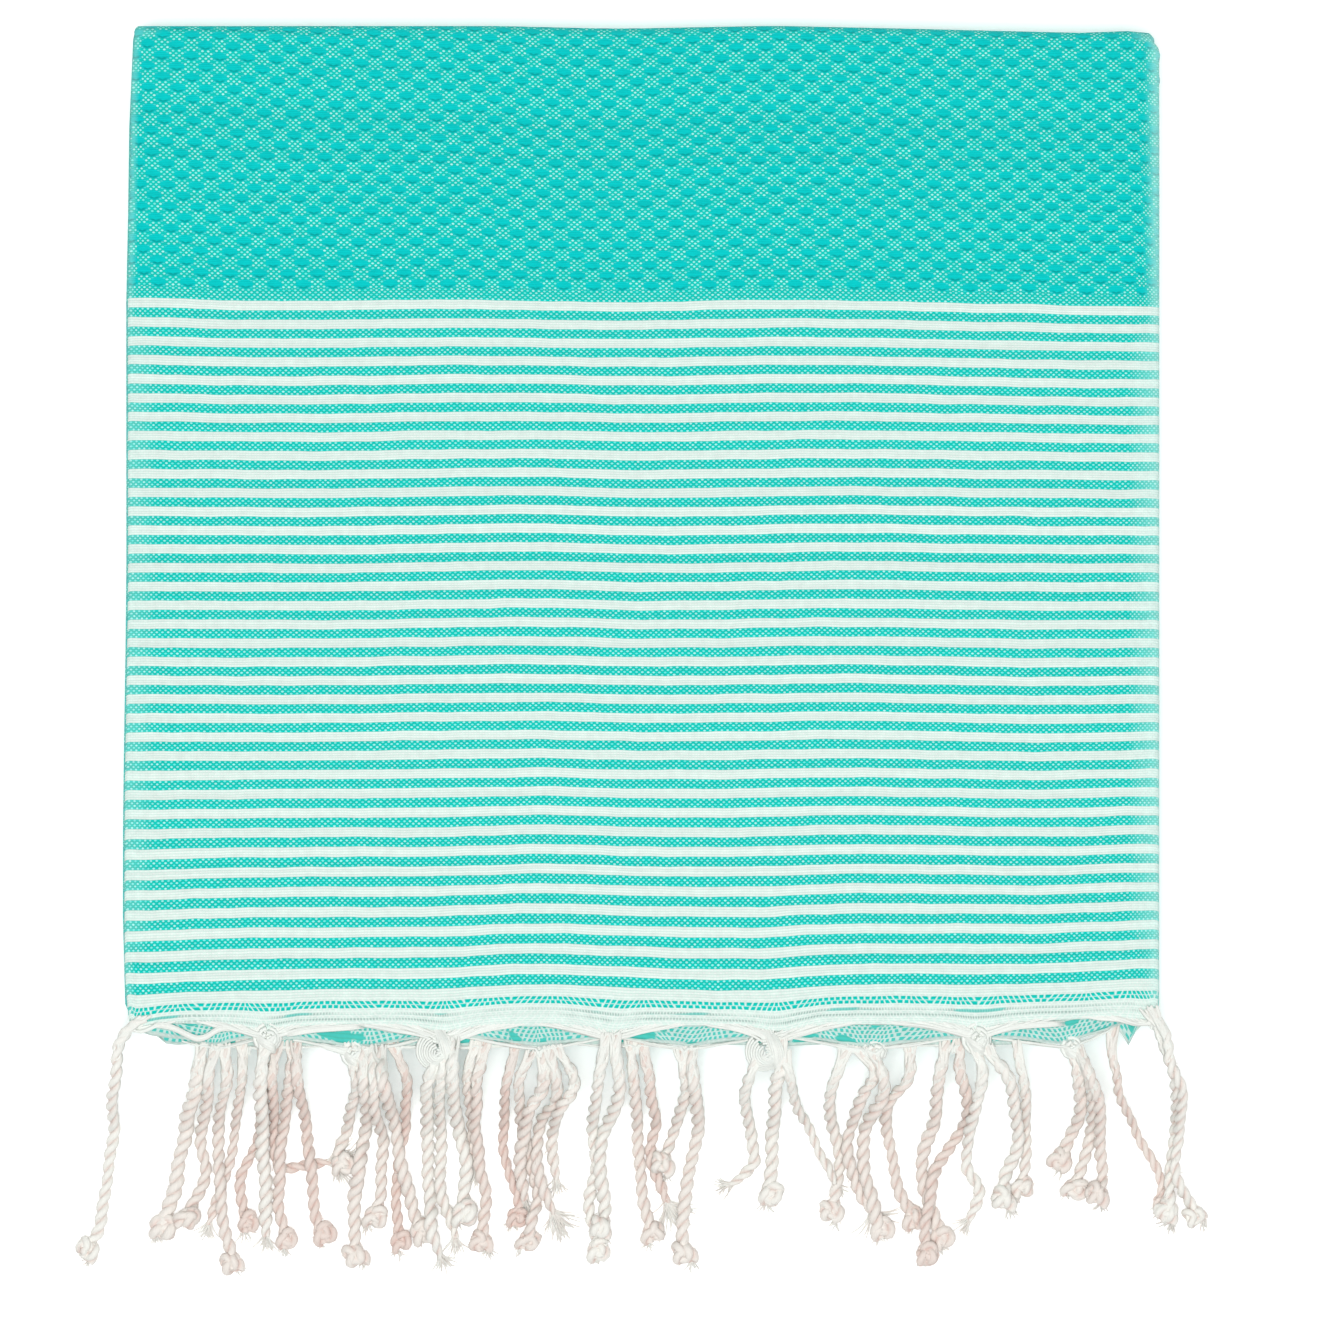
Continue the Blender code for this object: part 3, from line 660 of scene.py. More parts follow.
    # Tone: each pick has its own shade, and the cloth is a little uneven all over
    pick_tone = node("TexWhiteNoise", named={"W": pick}, noise_dimensions="1D").node.outputs["Value"]
    patches = {"Vector": moved, "Scale": 0.35, "Detail": 3.0, "Roughness": 0.65}
    patches = node("TexNoise", named=patches, noise_dimensions="2D")
    tone = node("Math MULTIPLY_ADD", pick_tone, 0.09, 0.955)
    tone = node("Math MULTIPLY", tone, node("Math MULTIPLY_ADD", patches, 0.22, 0.89))
    to_shader(node("VectorMath SCALE", colour, named={"Scale": tone}), "Base Color")

    # Relief: round yarns, and the floats a little proud
    crown = node("Math MULTIPLY_ADD", node("Math MULTIPLY", off_pick, off_pick), -3.2, 0.8)
    relief = node("Math MULTIPLY_ADD", dot, 0.55, crown)
    relief = node("Math MULTIPLY_ADD", shadow, -1.6, relief)
    to_shader(node("Bump", named={"Strength": 0.55, "Distance": 0.00028, "Height": relief}), "Normal")
    return material


def twisted_cotton(sizes):
    """Undyed soft cotton yarn: cream, matt and fibrous, with painted shade: pinker and darker where the plies
    meet, and on cords that lie behind.
    """
    material, node, to_shader = blank_material(
        "Twisted cotton yarn, undyed",
        Roughness=0.9, IOR=1.46, Specular_IOR_Level=0.2, Sheen_Weight=0.15, Sheen_Roughness=0.5,
    )
    yarn = node("Attribute", attribute_name="yarn").node.outputs["Vector"]
    inner, shade = (node("Attribute", attribute_name=name).node.outputs["Fac"] for name in ("inner", "shade"))

    # Fibres wind round each ply about once in 5 mm
    along = node("Math MULTIPLY", node("SeparateXYZ", yarn).node.outputs[2], 1000.0)
    turn = node("Math MULTIPLY", along, 2 * math.pi / 5.0)
    wound = node("VectorRotate", named={"Vector": yarn, "Angle": turn}, rotation_type="Z_AXIS")
    wound = node("VectorMath MULTIPLY", wound, (2.2, 2.2, 0.0))
    slow = node("CombineXYZ", 0.0, 0.0, node("Math MULTIPLY", along, 0.22))
    wound = node("VectorMath ADD", wound, slow)
    fibres = node("TexNoise", named={"Vector": wound, "Scale": 2.0, "Detail": 3.0})

    # Painted shade where the plies meet, pinker and darker
    groove_shade = node("MapRange", inner, 0.42, 0.95, 1.0, 0.0)
    groove_shade = node("Math MULTIPLY", groove_shade, 0.55)
    # Painted shade: cords that lie behind are mixed towards a pinker, darker cream
    base = node("Mix RGBA", shade, tuple(sizes.cream), tuple(sizes.behind))
    # At the hem the shade is below 0, and the yarn is whiter
    base = node("Mix RGBA", node("Math MULTIPLY", shade, -1.0), base, linear("#EAEFEA"))
    base = node("Mix RGBA", groove_shade, base, tuple(sizes.groove_shade))
    tone = node("MapRange", fibres, 0.3, 0.7, 0.93, 1.04)
    to_shader(node("VectorMath SCALE", base, named={"Scale": tone}), "Base Color")
    to_shader(node("Bump", named={"Strength": 0.5, "Distance": 0.00035, "Height": fibres}), "Normal")
    return material


def opal_acrylic(colour):
    """The opal top of a light table: matt white, faintly lit from below, so that its shadows stay pale."""
    material, node, to_shader = blank_material(
        "Opal acrylic floor",
        Base_Color=tuple(colour), Roughness=0.95, Specular_IOR_Level=0.1, Emission_Color=(1.0, 1.0, 1.0, 1.0),
        Emission_Strength=0.22,
    )
    place = node("TexCoord").node.outputs["Object"]
    tooth = node("TexNoise", named={"Vector": place, "Scale": 40.0})
    to_shader(node("Bump", named={"Strength": 0.02, "Distance": 0.0005, "Height": tooth}), "Normal")
    return material


# ---------------------------------------------------------------------------------------------- fringe

CLEAR_OF_HEMS_Y, LANDING_Y = -173.5, -194.0
DROP = ((0.0, 0.30, 0.68, 1.0), (0.0, 0.10, 0.52, 1.0))  # shares of the way out to the landing, and down
CORD_RADIUS = 2.0
CORD_OVERLAP = 0.94  # cords that cross press into each other a little
CORD_RISE = 14.0  # the length in which a cord may rise from its root over others
YARN_SEED, HIDDEN_SEED = 41, 7
LEVELS = {"under": -LAYER_PITCH, "middle": 0.0, "face": LAYER_PITCH}
STACK_HIGH, CAMERA_DISTANCE = 27.0, 2500.0  # the camera's distance is from the top of the sagging stack
CAMERA_XY = np.array((5.3, -42.9))
# How much painted shade each layer's cords get: those that lie behind, in shade, are painted pinker and
# darker
LAYER_SHADE = {"under": 0.62, "middle": 0.34, "face": 0.12}  # cords that lie behind look pinker and darker

# Cords of the end that shows, read off the photograph from left to right, by layer: thickness, how the tip is
# finished, and points of the route from the hem to the tip
CORDS = {
    "face": (
        (1.0, "knot", ((-160.5, -158.8), (-165.5, -161.2), (-168.8, -166.5), (-170.5, -175), (-171, -188),
         (-172, -204), (-175, -222.5), (-179, -233))),
        (1.15, "end", ((-122, -167), (-123.5, -180.5), (-123, -196.5), (-122, -210), (-122, -223),
         (-122, -228.5))),
        (1.1, "end", ((-66.5, -169.5), (-70, -181.5), (-70, -191), (-69.5, -202), (-69, -214), (-68.5, -226),
         (-65.5, -235))),
        (1.0, "end", ((-63.5, -169.5), (-65.5, -181.5), (-65.5, -202), (-65, -214), (-62.5, -223),
         (-61, -230))),
        (1.15, "knot", ((-61.8, -165.5), (-61.4, -172), (-61.6, -179.5), (-61.5, -187), (-59, -196.5),
         (-57, -204.5), (-58, -214), (-58, -221))),
        (1.0, "knot", ((-12, -164), (-14, -176.5), (-16.5, -191), (-15.5, -206), (-17.5, -218.5),
         (-15, -233))),
        (1.1, "knot", ((-9, -164), (-8.5, -181.5), (-12.5, -197), (-14.5, -209), (-12, -222),
         (-13.5, -226))),
        (1.0, "tuft", ((36.5, -170.5), (33.5, -180), (33, -188.5), (34.5, -197.5), (36, -205), (32, -210),
         (28, -212))),
        (1.15, "knot", ((44.2, -165.5), (44.6, -172), (43.2, -181), (41.5, -191), (41.5, -206),
         (40.5, -215))),
        (0.85, "end", ((45.5, -169.5), (47, -176.5), (49.5, -187.5), (52.5, -193), (56.5, -201), (60, -206),
         (61.5, -212))),
        (1.0, "tuft", ((107, -167.5), (109.5, -176.5), (107.5, -186), (104.5, -196.5), (104.5, -207),
         (108.5, -214.5), (104.5, -223))),
        (1.1, "knot", ((110, -167.5), (113.5, -172), (119, -180.5), (120, -191), (120, -200.5), (117, -210),
         (116.5, -216.5))),
        (1.0, "knot", ((162.3, -156.6), (165.6, -160.5), (168.5, -169.5), (171.5, -177.5), (172, -186.5),
         (171, -195.5), (170.5, -204.5), (170, -212.5), (169, -220.5))),
        (0.9, "knot", ((164.3, -155.6), (167.2, -161.5), (170.5, -172), (173.5, -183), (172.5, -194.5),
         (172, -206), (174.5, -215.5), (178, -222))),
    ),
    "middle": (
        (1.25, "knot", ((-142, -167.5), (-144.5, -180), (-147, -190.5), (-149, -201), (-151.5, -214.5),
         (-155, -225.5))),
        (1.0, "knot", ((-138.5, -168), (-140.5, -180), (-142.5, -197.5), (-141.5, -206.5), (-142.5, -213.5),
         (-147.5, -222.5))),
        (1.0, "knot", ((-135, -167.5), (-134.5, -177), (-137, -193), (-137, -204), (-136, -220),
         (-133.5, -233), (-132.5, -237))),
        (1.0, "knot", ((-94, -167.5), (-93, -183), (-96, -194), (-98, -200.5), (-97.5, -205))),
        (1.15, "knot", ((-91, -168.5), (-89.5, -186), (-90, -196.5), (-92, -207), (-93, -218.5),
         (-93.5, -228.5), (-92.5, -234.5))),
        (1.0, "knot", ((-88, -168.5), (-86.5, -186.5), (-84, -202), (-85, -214), (-86.5, -222))),
        (1.1, "knot", ((-85.5, -168), (-83, -183), (-79.5, -197.5), (-77, -210), (-74.5, -220.5),
         (-72, -227))),
        (0.95, "knot", ((-35.5, -169.5), (-40, -178.5), (-39.5, -191), (-36.5, -204), (-34.5, -217),
         (-37.5, -230))),
        (1.1, "end", ((-32.5, -169.5), (-32.5, -179.5), (-36.5, -187.5), (-38, -195), (-40, -204),
         (-38.5, -217))),
        (1.0, "fan", ((-30, -168.5), (-28, -183), (-33, -192), (-34.5, -203.5), (-33, -212), (-29, -221))),
        (1.0, "end", ((-28, -168), (-22, -179), (-27.5, -188), (-29.5, -197.5), (-28, -210.5))),
        (1.0, "knot", ((12, -168.5), (13.5, -178.5), (13, -185), (9, -196.5), (6.5, -205))),
        (1.1, "knot", ((15, -168.5), (16.5, -181.5), (17.5, -194.5), (14.5, -209), (12.5, -225),
         (13.5, -234))),
        (1.0, "knot", ((65.5, -168), (61, -181.5), (60, -191), (62, -199), (63.5, -207), (61, -220.5))),
        (1.0, "fan", ((69, -168.5), (75, -176), (72, -182), (67.5, -190), (66, -202), (69, -214),
         (74, -221))),
        (1.1, "knot", ((73.5, -168.5), (78, -180.5), (72.5, -191), (71, -202), (72.5, -214), (76.5, -226))),
        (0.9, "knot", ((119.5, -166.5), (123, -180.5), (123, -191), (123.5, -202.5), (122, -212.5))),
        (1.1, "knot", ((137.5, -168), (140.5, -177.5), (140.5, -188.5), (137, -197.5), (135, -204))),
        (1.0, "knot", ((140, -168), (144.5, -180.5), (144.5, -191), (143, -201), (139, -213))),
        (1.0, "knot", ((140.6, -168), (143.2, -174.0), (145.8, -181.0), (146.5, -188.5), (147.5, -196.5),
         (148, -207), (146.5, -215))),
    ),
    "under": (
        (0.85, "tuft", ((-129, -165.5), (-130, -180), (-132, -197.5), (-136.5, -214), (-140, -225))),
        (0.9, "knot", ((-123, -165.5), (-122.5, -180), (-124.5, -197.5), (-130, -210.5), (-128, -224))),
        (0.9, "fan", ((-118.5, -167), (-120, -183), (-119, -197.5), (-117, -206.5), (-109, -206),
         (-101, -205))),
        (1.0, "knot", ((-113, -166.5), (-114.5, -180), (-115.5, -191), (-117.5, -203.5), (-117.5, -217),
         (-115.5, -229.5))),
        (1.0, "knot", ((-111.5, -166.5), (-112, -177.5), (-109, -191), (-108, -201), (-106, -220.5),
         (-103.5, -227.5))),
        (0.9, "knot", ((-81, -166.5), (-77, -176), (-76.5, -186), (-77.5, -196.5), (-79.5, -210),
         (-79.5, -223), (-78.5, -230))),
        (0.85, "end", ((-53.5, -166), (-56.5, -175), (-56, -191), (-54, -207.5))),
        (1.0, "knot", ((-51, -166), (-53.5, -180), (-54.5, -194.5), (-52.5, -206), (-51, -217.5),
         (-52, -226), (-52, -230.5))),
        (0.85, "knot", ((-41, -166), (-44.5, -182), (-45.5, -198), (-43, -207.5), (-41, -214.5),
         (-41, -222.5))),
        (1.0, "knot", ((-4.5, -165.5), (-3, -180), (-2, -194.5), (-1, -209), (1, -223), (2.5, -227.5))),
        (0.95, "fan", ((-1, -165.5), (2, -178.5), (3.5, -191), (2.5, -204), (6.5, -214), (8, -218))),
        (1.0, "knot", ((86, -166), (85.5, -177.5), (79, -186), (78, -194), (80.5, -204.5), (83, -215),
         (86.5, -223))),
        (1.1, "knot", ((98, -165.5), (96.5, -172), (94.5, -183), (93.5, -191), (90.5, -202), (90, -212.5),
         (93, -220.5), (96, -229))),
        (1.0, "knot", ((102.5, -165.5), (102, -175), (104, -183), (102.5, -194.5), (95.5, -205),
         (92.5, -214), (91, -223.5), (91, -234.5))),
        (0.8, "knot", ((151.8, -161.0), (151.3, -166.0), (151.5, -173), (153, -180.5), (155.5, -188.5),
         (160.5, -197.5), (163.5, -204.5), (167, -210.5), (167, -217))),
    ),
}

# Where the warp is gathered, by layer: x, y, reach to the left and right, depth of the pile
GATHERS = {
    "face": (
        (-166.5, -160.5, 1.0, 16.0, 1.6),
        (-122.0, -164.5, 23.0, 27.0, 2.2),
        (-64.5, -167.0, 30.0, 27.0, 2.8),
        (-10.0, -164.5, 26.0, 26.0, 2.2),
        (41.5, -167.0, 24.0, 30.0, 2.8),
        (107.5, -164.5, 32.0, 27.0, 2.4),
        (164.5, -158.9, 24.0, 1.5, 0.8),
    ),
    "middle": (
        (-138.0, -168.4, 12.0, 24.0, 0.5),
        (-90.5, -168.8, 24.0, 28.0, 0.5),
        (-33.5, -168.6, 28.0, 22.0, 0.5),
        (13.0, -168.4, 22.0, 28.0, 0.5),
        (71.5, -168.6, 28.0, 30.0, 0.5),
        (138.5, -168.0, 30.0, 14.0, 0.5),
    ),
    "under": (
        (-128.0, -167.6, 8.0, 14.0, 0.7),
        (-111.5, -167.4, 16.0, 12.0, 0.7),
        (-79.0, -167.4, 18.0, 14.0, 0.7),
        (-52.5, -167.2, 14.0, 16.0, 0.7),
        (-2.5, -167.2, 20.0, 20.0, 0.7),
        (86.5, -167.2, 16.0, 10.0, 0.7),
        (100.5, -167.0, 12.0, 16.0, 0.7),
        (151.0, -162.2, 10.0, 2.0, 0.5),
    ),
}

# Thicker strands that slipped out of a gather and cross the lower cloth, by layer: points of each route
STRAYS = {
    "face": (
        ((-158.0, -160.6), (-152.8, -161.2), (-149.6, -162.6), (-144.2, -165.0), (-140.5, -164.2),
         (-137.3, -162.0), (-132.0, -161.8)),
        ((-115.0, -163.6), (-107.0, -162.2), (-99.0, -161.6), (-90.0, -161.0)),
        ((111.0, -163.6), (119.0, -161.4), (127.0, -160.6), (136.0, -160.2)),
    ),
    "middle": (
        ((-104.0, -167.2), (-99.0, -168.6), (-95.0, -169.8), (-91.0, -169.6)),
        ((62.0, -167.4), (66.0, -168.4), (70.0, -169.4), (76.0, -169.2)),
    ),
}

# Knots of gathered warp, by layer: x, y, width, length, how far to the right the bundle leaves it
HEM_KNOTS = {
    "face": (
        (-121.4, -164.6, 8.4, 8.6, 0.0),
        (-67.6, -168.8, 11.0, 12.0, 4.6),
        (38.6, -169.2, 11.0, 12.0, 4.6),
        (107.4, -165.0, 8.6, 9.4, 0.0),
    ),
    "middle": (
        (-94.0, -170.0, 6.4, 7.4, 0.0),
        (74.4, -169.2, 7.6, 6.0, 0.0),
        (138.2, -168.0, 6.0, 6.6, 0.0),
    ),
}


def new_thing(name, data):
    """An object at the origin of the scene."""
    thing = bpy.data.objects.new(name, data)
    bpy.context.scene.collection.objects.link(thing)
    return thing


def cord_tree():
    """Geometry Nodes that wind plies round centre lines and give them a round section."""
    tree = bpy.data.node_groups.new("Twisted cord", "GeometryNodeTree")
    node = partial(add, tree)
    for name, kind, value in (
        ("Centre lines", "Geometry", None),
        ("Plies", "Int", 2),
        ("Twist pitch", "Float", 0.007),
        ("Ply offset", "Float", 0.43),
        ("Ply size", "Float", 0.61),
        ("Sides", "Int", 8),
        ("Step", "Float", 0.0006),
        ("Cotton", "Material", None),
    ):
        socket = tree.interface.new_socket(name, in_out="INPUT", socket_type="NodeSocket" + kind)
        if value is not None:
            socket.default_value = value
    tree.interface.new_socket("Cords", in_out="OUTPUT", socket_type="NodeSocketGeometry")
    given = tree.nodes.new("NodeGroupInput").outputs
    store, recall, vector, number = "StoreNamedAttribute ", "InputNamedAttribute ", "FLOAT_VECTOR", "FLOAT"

    # Copies of each centre line, moved aside and turned by the length walked along it
    lines = node("MeshToCurve", given["Centre lines"])
    lines = node("ResampleCurve", named={"Curve": lines, "Length": given["Step"]}, mode="LENGTH")
    kept = node("DuplicateElements", named={"Geometry": lines, "Amount": given["Plies"]}, domain="SPLINE")
    ply = kept.node.outputs["Duplicate Index"]
    radius, place = node("InputRadius"), node("InputPosition")
    length = node(recall + number, named={"Name": "walked"})
    for name, value, kind in (("centre", place, vector), ("along", length, number), ("size", radius, number)):
        kept = node(store + kind, named={"Geometry": kept, "Name": name, "Value": value})
    turns = node("Math DIVIDE", length, given["Twist pitch"])
    turns = node("Math ADD", turns, node("Math DIVIDE", ply, given["Plies"]))
    angle = node("Math MULTIPLY", turns, 2 * math.pi)
    aside = {"Vector": node("InputNormal"), "Axis": node("InputTangent"), "Angle": angle}
    distance = node("Math MULTIPLY", radius, given["Ply offset"])
    aside = node("VectorMath SCALE", node("VectorRotate", named=aside), named={"Scale": distance})
    wound = node("SetPosition", named={"Geometry": kept, "Offset": aside})
    section = node("CurvePrimitiveCircle", named={"Resolution": given["Sides"], "Radius": 1.0})
    section = node(store + vector, named={"Geometry": section, "Name": "round", "Value": place})
    thickness = node("Math MULTIPLY", radius, given["Ply size"])
    body = {"Curve": wound, "Profile Curve": section, "Scale": thickness, "Fill Caps": True}
    body = node("CurveToMesh", named=body)

    # What the yarn's material reads: the place round and along a ply, and how far off the cord's middle it is
    around = node("SeparateXYZ", node(recall + vector, named={"Name": "round"})).node.outputs
    yarn = node("CombineXYZ", around[0], around[1], node(recall + number, named={"Name": "along"}))
    centre = node(recall + vector, named={"Name": "centre"})
    off = node("VectorMath DISTANCE", place, centre).node.outputs["Value"]
    reach = node("Math ADD", given["Ply offset"], given["Ply size"])
    reach = node("Math MULTIPLY", reach, node(recall + number, named={"Name": "size"}))
    inner = node("Math DIVIDE", off, reach)
    for name, value, kind in (("yarn", yarn, vector), ("inner", inner, number)):
        body = node(store + kind, named={"Geometry": body, "Name": name, "Value": value})
    for name in ("centre", "along", "size", "round", "walked"):
        body = node("RemoveAttribute", named={"Geometry": body, "Name": name})
    body = node("RealizeInstances", node("SetShadeSmooth", named={"Geometry": body}))
    body = node("SetMaterial", named={"Geometry": body, "Material": given["Cotton"]})
    tree.links.new(body, tree.nodes.new("NodeGroupOutput").inputs[0])
    return tree


def dressed(name, strands, cotton, **inputs):
    """Centre lines (points in millimetres, radii, shade) as one plain mesh of cords."""
    tree = bpy.data.node_groups.get("Twisted cord") or cord_tree()
    points, edges, radii, shades, walked = [], [], [], [], []
    for line, thickness, shade in strands:
        # Plies wind once per pitch of the length, and a steep drop counts for less of it
        steps = np.linalg.norm(np.diff(line, axis=0) * (1.0, 1.0, 0.35), axis=1)
        walked += list(np.concatenate([[0.0], np.cumsum(steps)]) * MM)
        edges += [(len(points) + i, len(points) + i + 1) for i in range(len(line) - 1)]
        points += [tuple(point * MM) for point in np.asarray(line)]
        radii += list(np.broadcast_to(thickness, len(line)) * MM)
        shades += [shade] * len(line)
    source = bpy.data.meshes.new(name + "_lines")
    source.from_pydata(points, edges, [])
    for kept, values in (("radius", radii), ("shade", shades), ("walked", walked)):
        source.attributes.new(kept, "FLOAT", "POINT").data.foreach_set("value", values)
    lines = new_thing(name + "_lines", source)
    modifier = lines.modifiers.new("Cords", "NODES")
    modifier.node_group = tree
    for socket in tree.interface.items_tree:
        if socket.in_out == "INPUT" and socket.name in inputs:
            modifier[socket.identifier] = inputs[socket.name]
        elif socket.in_out == "INPUT" and socket.name == "Cotton":
            modifier[socket.identifier] = cotton
    graph = bpy.context.evaluated_depsgraph_get()
    mesh = bpy.data.meshes.new_from_object(lines.evaluated_get(graph), depsgraph=graph)
    mesh.name = name
    bpy.data.objects.remove(lines, do_unlink=True)
    bpy.data.meshes.remove(source)
    return new_thing(name, mesh)


def curve_through(points, step=1.0):
    """A smooth line through points, sampled about every step."""
    points = np.asarray(points, dtype=float)
    padded = np.vstack([2 * points[0] - points[1], points, 2 * points[-1] - points[-2]])
    line = []
    for a, b, c, d in zip(padded, padded[1:], padded[2:], padded[3:]):
        count = max(2, int(np.linalg.norm(c - b) / step))
        t = (np.arange(count) / count)[:, None]
        bend, twist = 2 * a - 5 * b + 4 * c - d, 3 * b - a - 3 * c + d
        line.append(0.5 * (2 * b + (c - a) * t + bend * t**2 + twist * t**3))
    return np.vstack([*line, points[-1:]])


def softened(values, reach):
    """Values averaged with their neighbours, with a bell-shaped weight."""
    weights = np.exp(-0.5 * (np.arange(-2 * reach, 2 * reach + 1) / reach) ** 2)
    padded = np.pad(values, 2 * reach, mode="edge")
    return np.convolve(padded, weights / weights.sum(), mode="valid")


def knot_turns(unit, side):
    """One overhand knot: places along, aside and up, from where the cord comes in to where it leaves."""
    t = np.linspace(math.pi / 3 + 0.2, math.pi / 3 + 2 * math.pi - 0.2, 34)
    x, y = np.sin(t) + 2 * np.sin(2 * t), np.cos(t) - 2 * np.cos(2 * t)
    share = np.linspace(-1, 1, len(t))
    up = -1.25 * np.sin(3 * t) + 1.35 * share**5
    return np.stack([-0.5 * x + 0.866 * y, side * (0.866 * x + 0.5 * y - 3) * 0.92, up], axis=1) * unit


def knotted(line, radius, unit, side):
    """Ends a line with an overhand knot and a short tail. Returns it, its radii and where the knot begins."""
    ahead = line[-1, :2] - line[-5, :2]
    ahead = ahead / np.linalg.norm(ahead)
    aside = np.array([-ahead[1], ahead[0]])
    start = line[-1] + np.array([*(aside * side * 1.5 * unit), 0.0])
    turns = knot_turns(unit, side)
    low = turns[:, 2].min()
    tail = np.array([(0.3, 0.5 * side, 1.2), (2.2, 0.9 * side, 0.4), (4.0, 0.4 * side, -1.0)]) * unit
    local = np.vstack([turns, tail])
    places = start[:2] + np.outer(local[:, 0], ahead) + np.outer(local[:, 1], aside)
    heights = radius * 0.85 + local[:, 2] - low
    body = line[: len(line) - 2]
    knot = curve_through(np.column_stack([places, heights]), 0.7)
    whole = np.vstack([body, knot])
    radii = np.concatenate([np.full(len(body), radius), np.full(len(knot), radius * 1.06)])
    return whole, radii, len(body)


class Pile:
    """What lies on the table and on the hems so far. Each new cord is lifted over it."""

    def __init__(self):
        self.laid = np.zeros((0, 4))

    def lay(self, line, radii, knot_from=None):
        if len(self.laid):
            apart = ((line[:, None, :2] - self.laid[None, :, :2]) ** 2).sum(axis=2)
            reach = (radii[:, None] + self.laid[None, :, 3]) * CORD_OVERLAP
            over = self.laid[None, :, 2] + np.sqrt(np.clip(reach**2 - apart, 0, None))
            needed = np.where(apart < reach**2, over, -1e6).max(axis=1)
            lift = np.clip(needed - line[:, 2], 0, None)
            if knot_from is not None:
                lift[knot_from:] = lift[knot_from:].max() * 0.8
            steps = np.linalg.norm(np.diff(line[:, :2], axis=0), axis=1)
            lift *= smooth(np.concatenate([[0], np.cumsum(steps)]), 0.0, CORD_RISE)
            widest = np.max([np.roll(np.pad(lift, 3, mode="edge"), i)[3:-3] for i in range(-2, 3)], axis=0)
            line[:, 2] += softened(widest, 2)
        self.laid = np.vstack([self.laid, np.column_stack([line, radii])])
        return line


def hem_height(layer, x, y):
    """Height of the middle of one layer of the top packet."""
    return float(settle(x, y, run_height(0) + LEVELS[layer])[2])


def wobble(rng, count):
    """A slow sideways unevenness, none at the start and at most about one millimetre."""
    walked = np.arange(count)

    def wave():
        return rng.uniform(0.15, 0.4) * np.sin(walked * 2 * math.pi / rng.uniform(14, 34) + rng.uniform(0, 6))

    aside = [wave() + wave() for _ in "xy"]
    return np.column_stack(aside) * smooth(walked, 2.0, 14.0)[:, None]


def tapered(thickness, strand, places, sizes):
    """Radii along a strand, a thickness times its sizes at shares of the length."""
    return thickness * np.interp(np.linspace(0, 1, len(strand)), places, sizes)


def tuft(rng, tip, ahead, count, length, spread, thickness=0.24):
    """Loose yarn ends that fan out from a tip and come to rest on the table."""
    fibres = []
    heading = math.atan2(ahead[1], ahead[0])
    for _ in range(count):
        turn = heading + rng.uniform(-spread, spread) * rng.random() ** 0.4
        bend = rng.uniform(-0.5, 0.5)
        reach = length * rng.uniform(0.55, 1.0)
        rise = rng.uniform(-0.4, 1.0)
        start = np.array(tip) + [rng.uniform(-0.6, 0.6), rng.uniform(-0.6, 0.6), rng.uniform(-0.5, 0.5)]
        points = [start - np.array([math.cos(heading), math.sin(heading), 0.0]) * 1.2]
        for i in range(1, 6):
            share = i / 5
            angle = turn + bend * share * 2
            here = points[-1] + np.array([math.cos(angle), math.sin(angle), 0.0]) * reach / 5
            here[2] = max(0.25, start[2] * (1 - share) ** 1.5 + rise * math.sin(math.pi * share) + 0.3)
            points.append(here)
        radii = thickness * np.array([1.0, 1.0, 0.95, 0.9, 0.8, 0.5])
        fibres.append((np.array(points), radii, rng.uniform(0.0, 0.35)))
    return fibres


def hem_yarns(rng, layer, knot_x, knot_y, reach_left, reach_right, depth):
    """The warp past the hem, drawn sideways along it into one bundle. Threads from afar lie outermost."""
    strands = []
    lower = layer != "face"
    count = int((reach_left + reach_right) / (2.6 if lower else 1.55))
    for i in range(count):
        start = knot_x - reach_left + (reach_left + reach_right) * (i + 0.5) / count
        reach = reach_left if start < knot_x else reach_right
        distance = abs(start - knot_x)
        side = 1 if start > knot_x else -1
        share = np.linspace(0, 1, 9)
        x = knot_x + side * distance * (1 - share) ** 1.15 * 0.96 + side * 0.9 * distance / reach
        near = np.abs(x - knot_x)
        off = depth * np.clip((distance - near) / reach, 0, 1)
        y = hem_line(x, layer) + (0.2 if lower else 1.2) * (1 - share) ** 3 - off - 0.35
        y = y + (knot_y - y) * smooth(share, 0.72, 1.0) * 0.75
        wave = rng.uniform(-0.3, 0.3)
        z = np.array([hem_height(layer, a, b) for a, b in zip(x, y)])
        z = z + 0.15 + smooth(share, 0.0, 0.3) * rng.uniform(-0.35, 0.75) + 0.5 * smooth(share, 0.6, 1.0)
        y = y + wave * np.sin(share * 7.0 + rng.uniform(0, 6)) * smooth(share, 0.0, 0.3)
        points = np.column_stack([x, y, z])
        last = points[-1] + [rng.uniform(-0.8, 0.8) - side * 0.3, -2.6, -0.2]
        points = np.vstack([points, last])
        thickness = rng.uniform(0.3, 0.42) if lower else rng.uniform(0.36, 0.52)
        strands.append((curve_through(points, 1.6), thickness, -rng.uniform(0.4, 0.9)))
    return strands


def stray_strand(rng, layer, points):
    """Four yarns lying together along one route on top of the cloth."""
    strands = []
    for k in range(4):
        aside = k - 1.5
        up = 0.95 - 0.1 * aside**2
        route = [(x, y + aside * 0.42, hem_height(layer, x, y) + up) for x, y in points]
        strand = curve_through(route, 1.4)
        thickness = tapered(rng.uniform(0.38, 0.48), strand, (0, 0.15, 0.8, 1), (0.4, 1, 1, 0.2))
        strands.append((strand, thickness, -rng.uniform(0.4, 0.9)))
    return strands


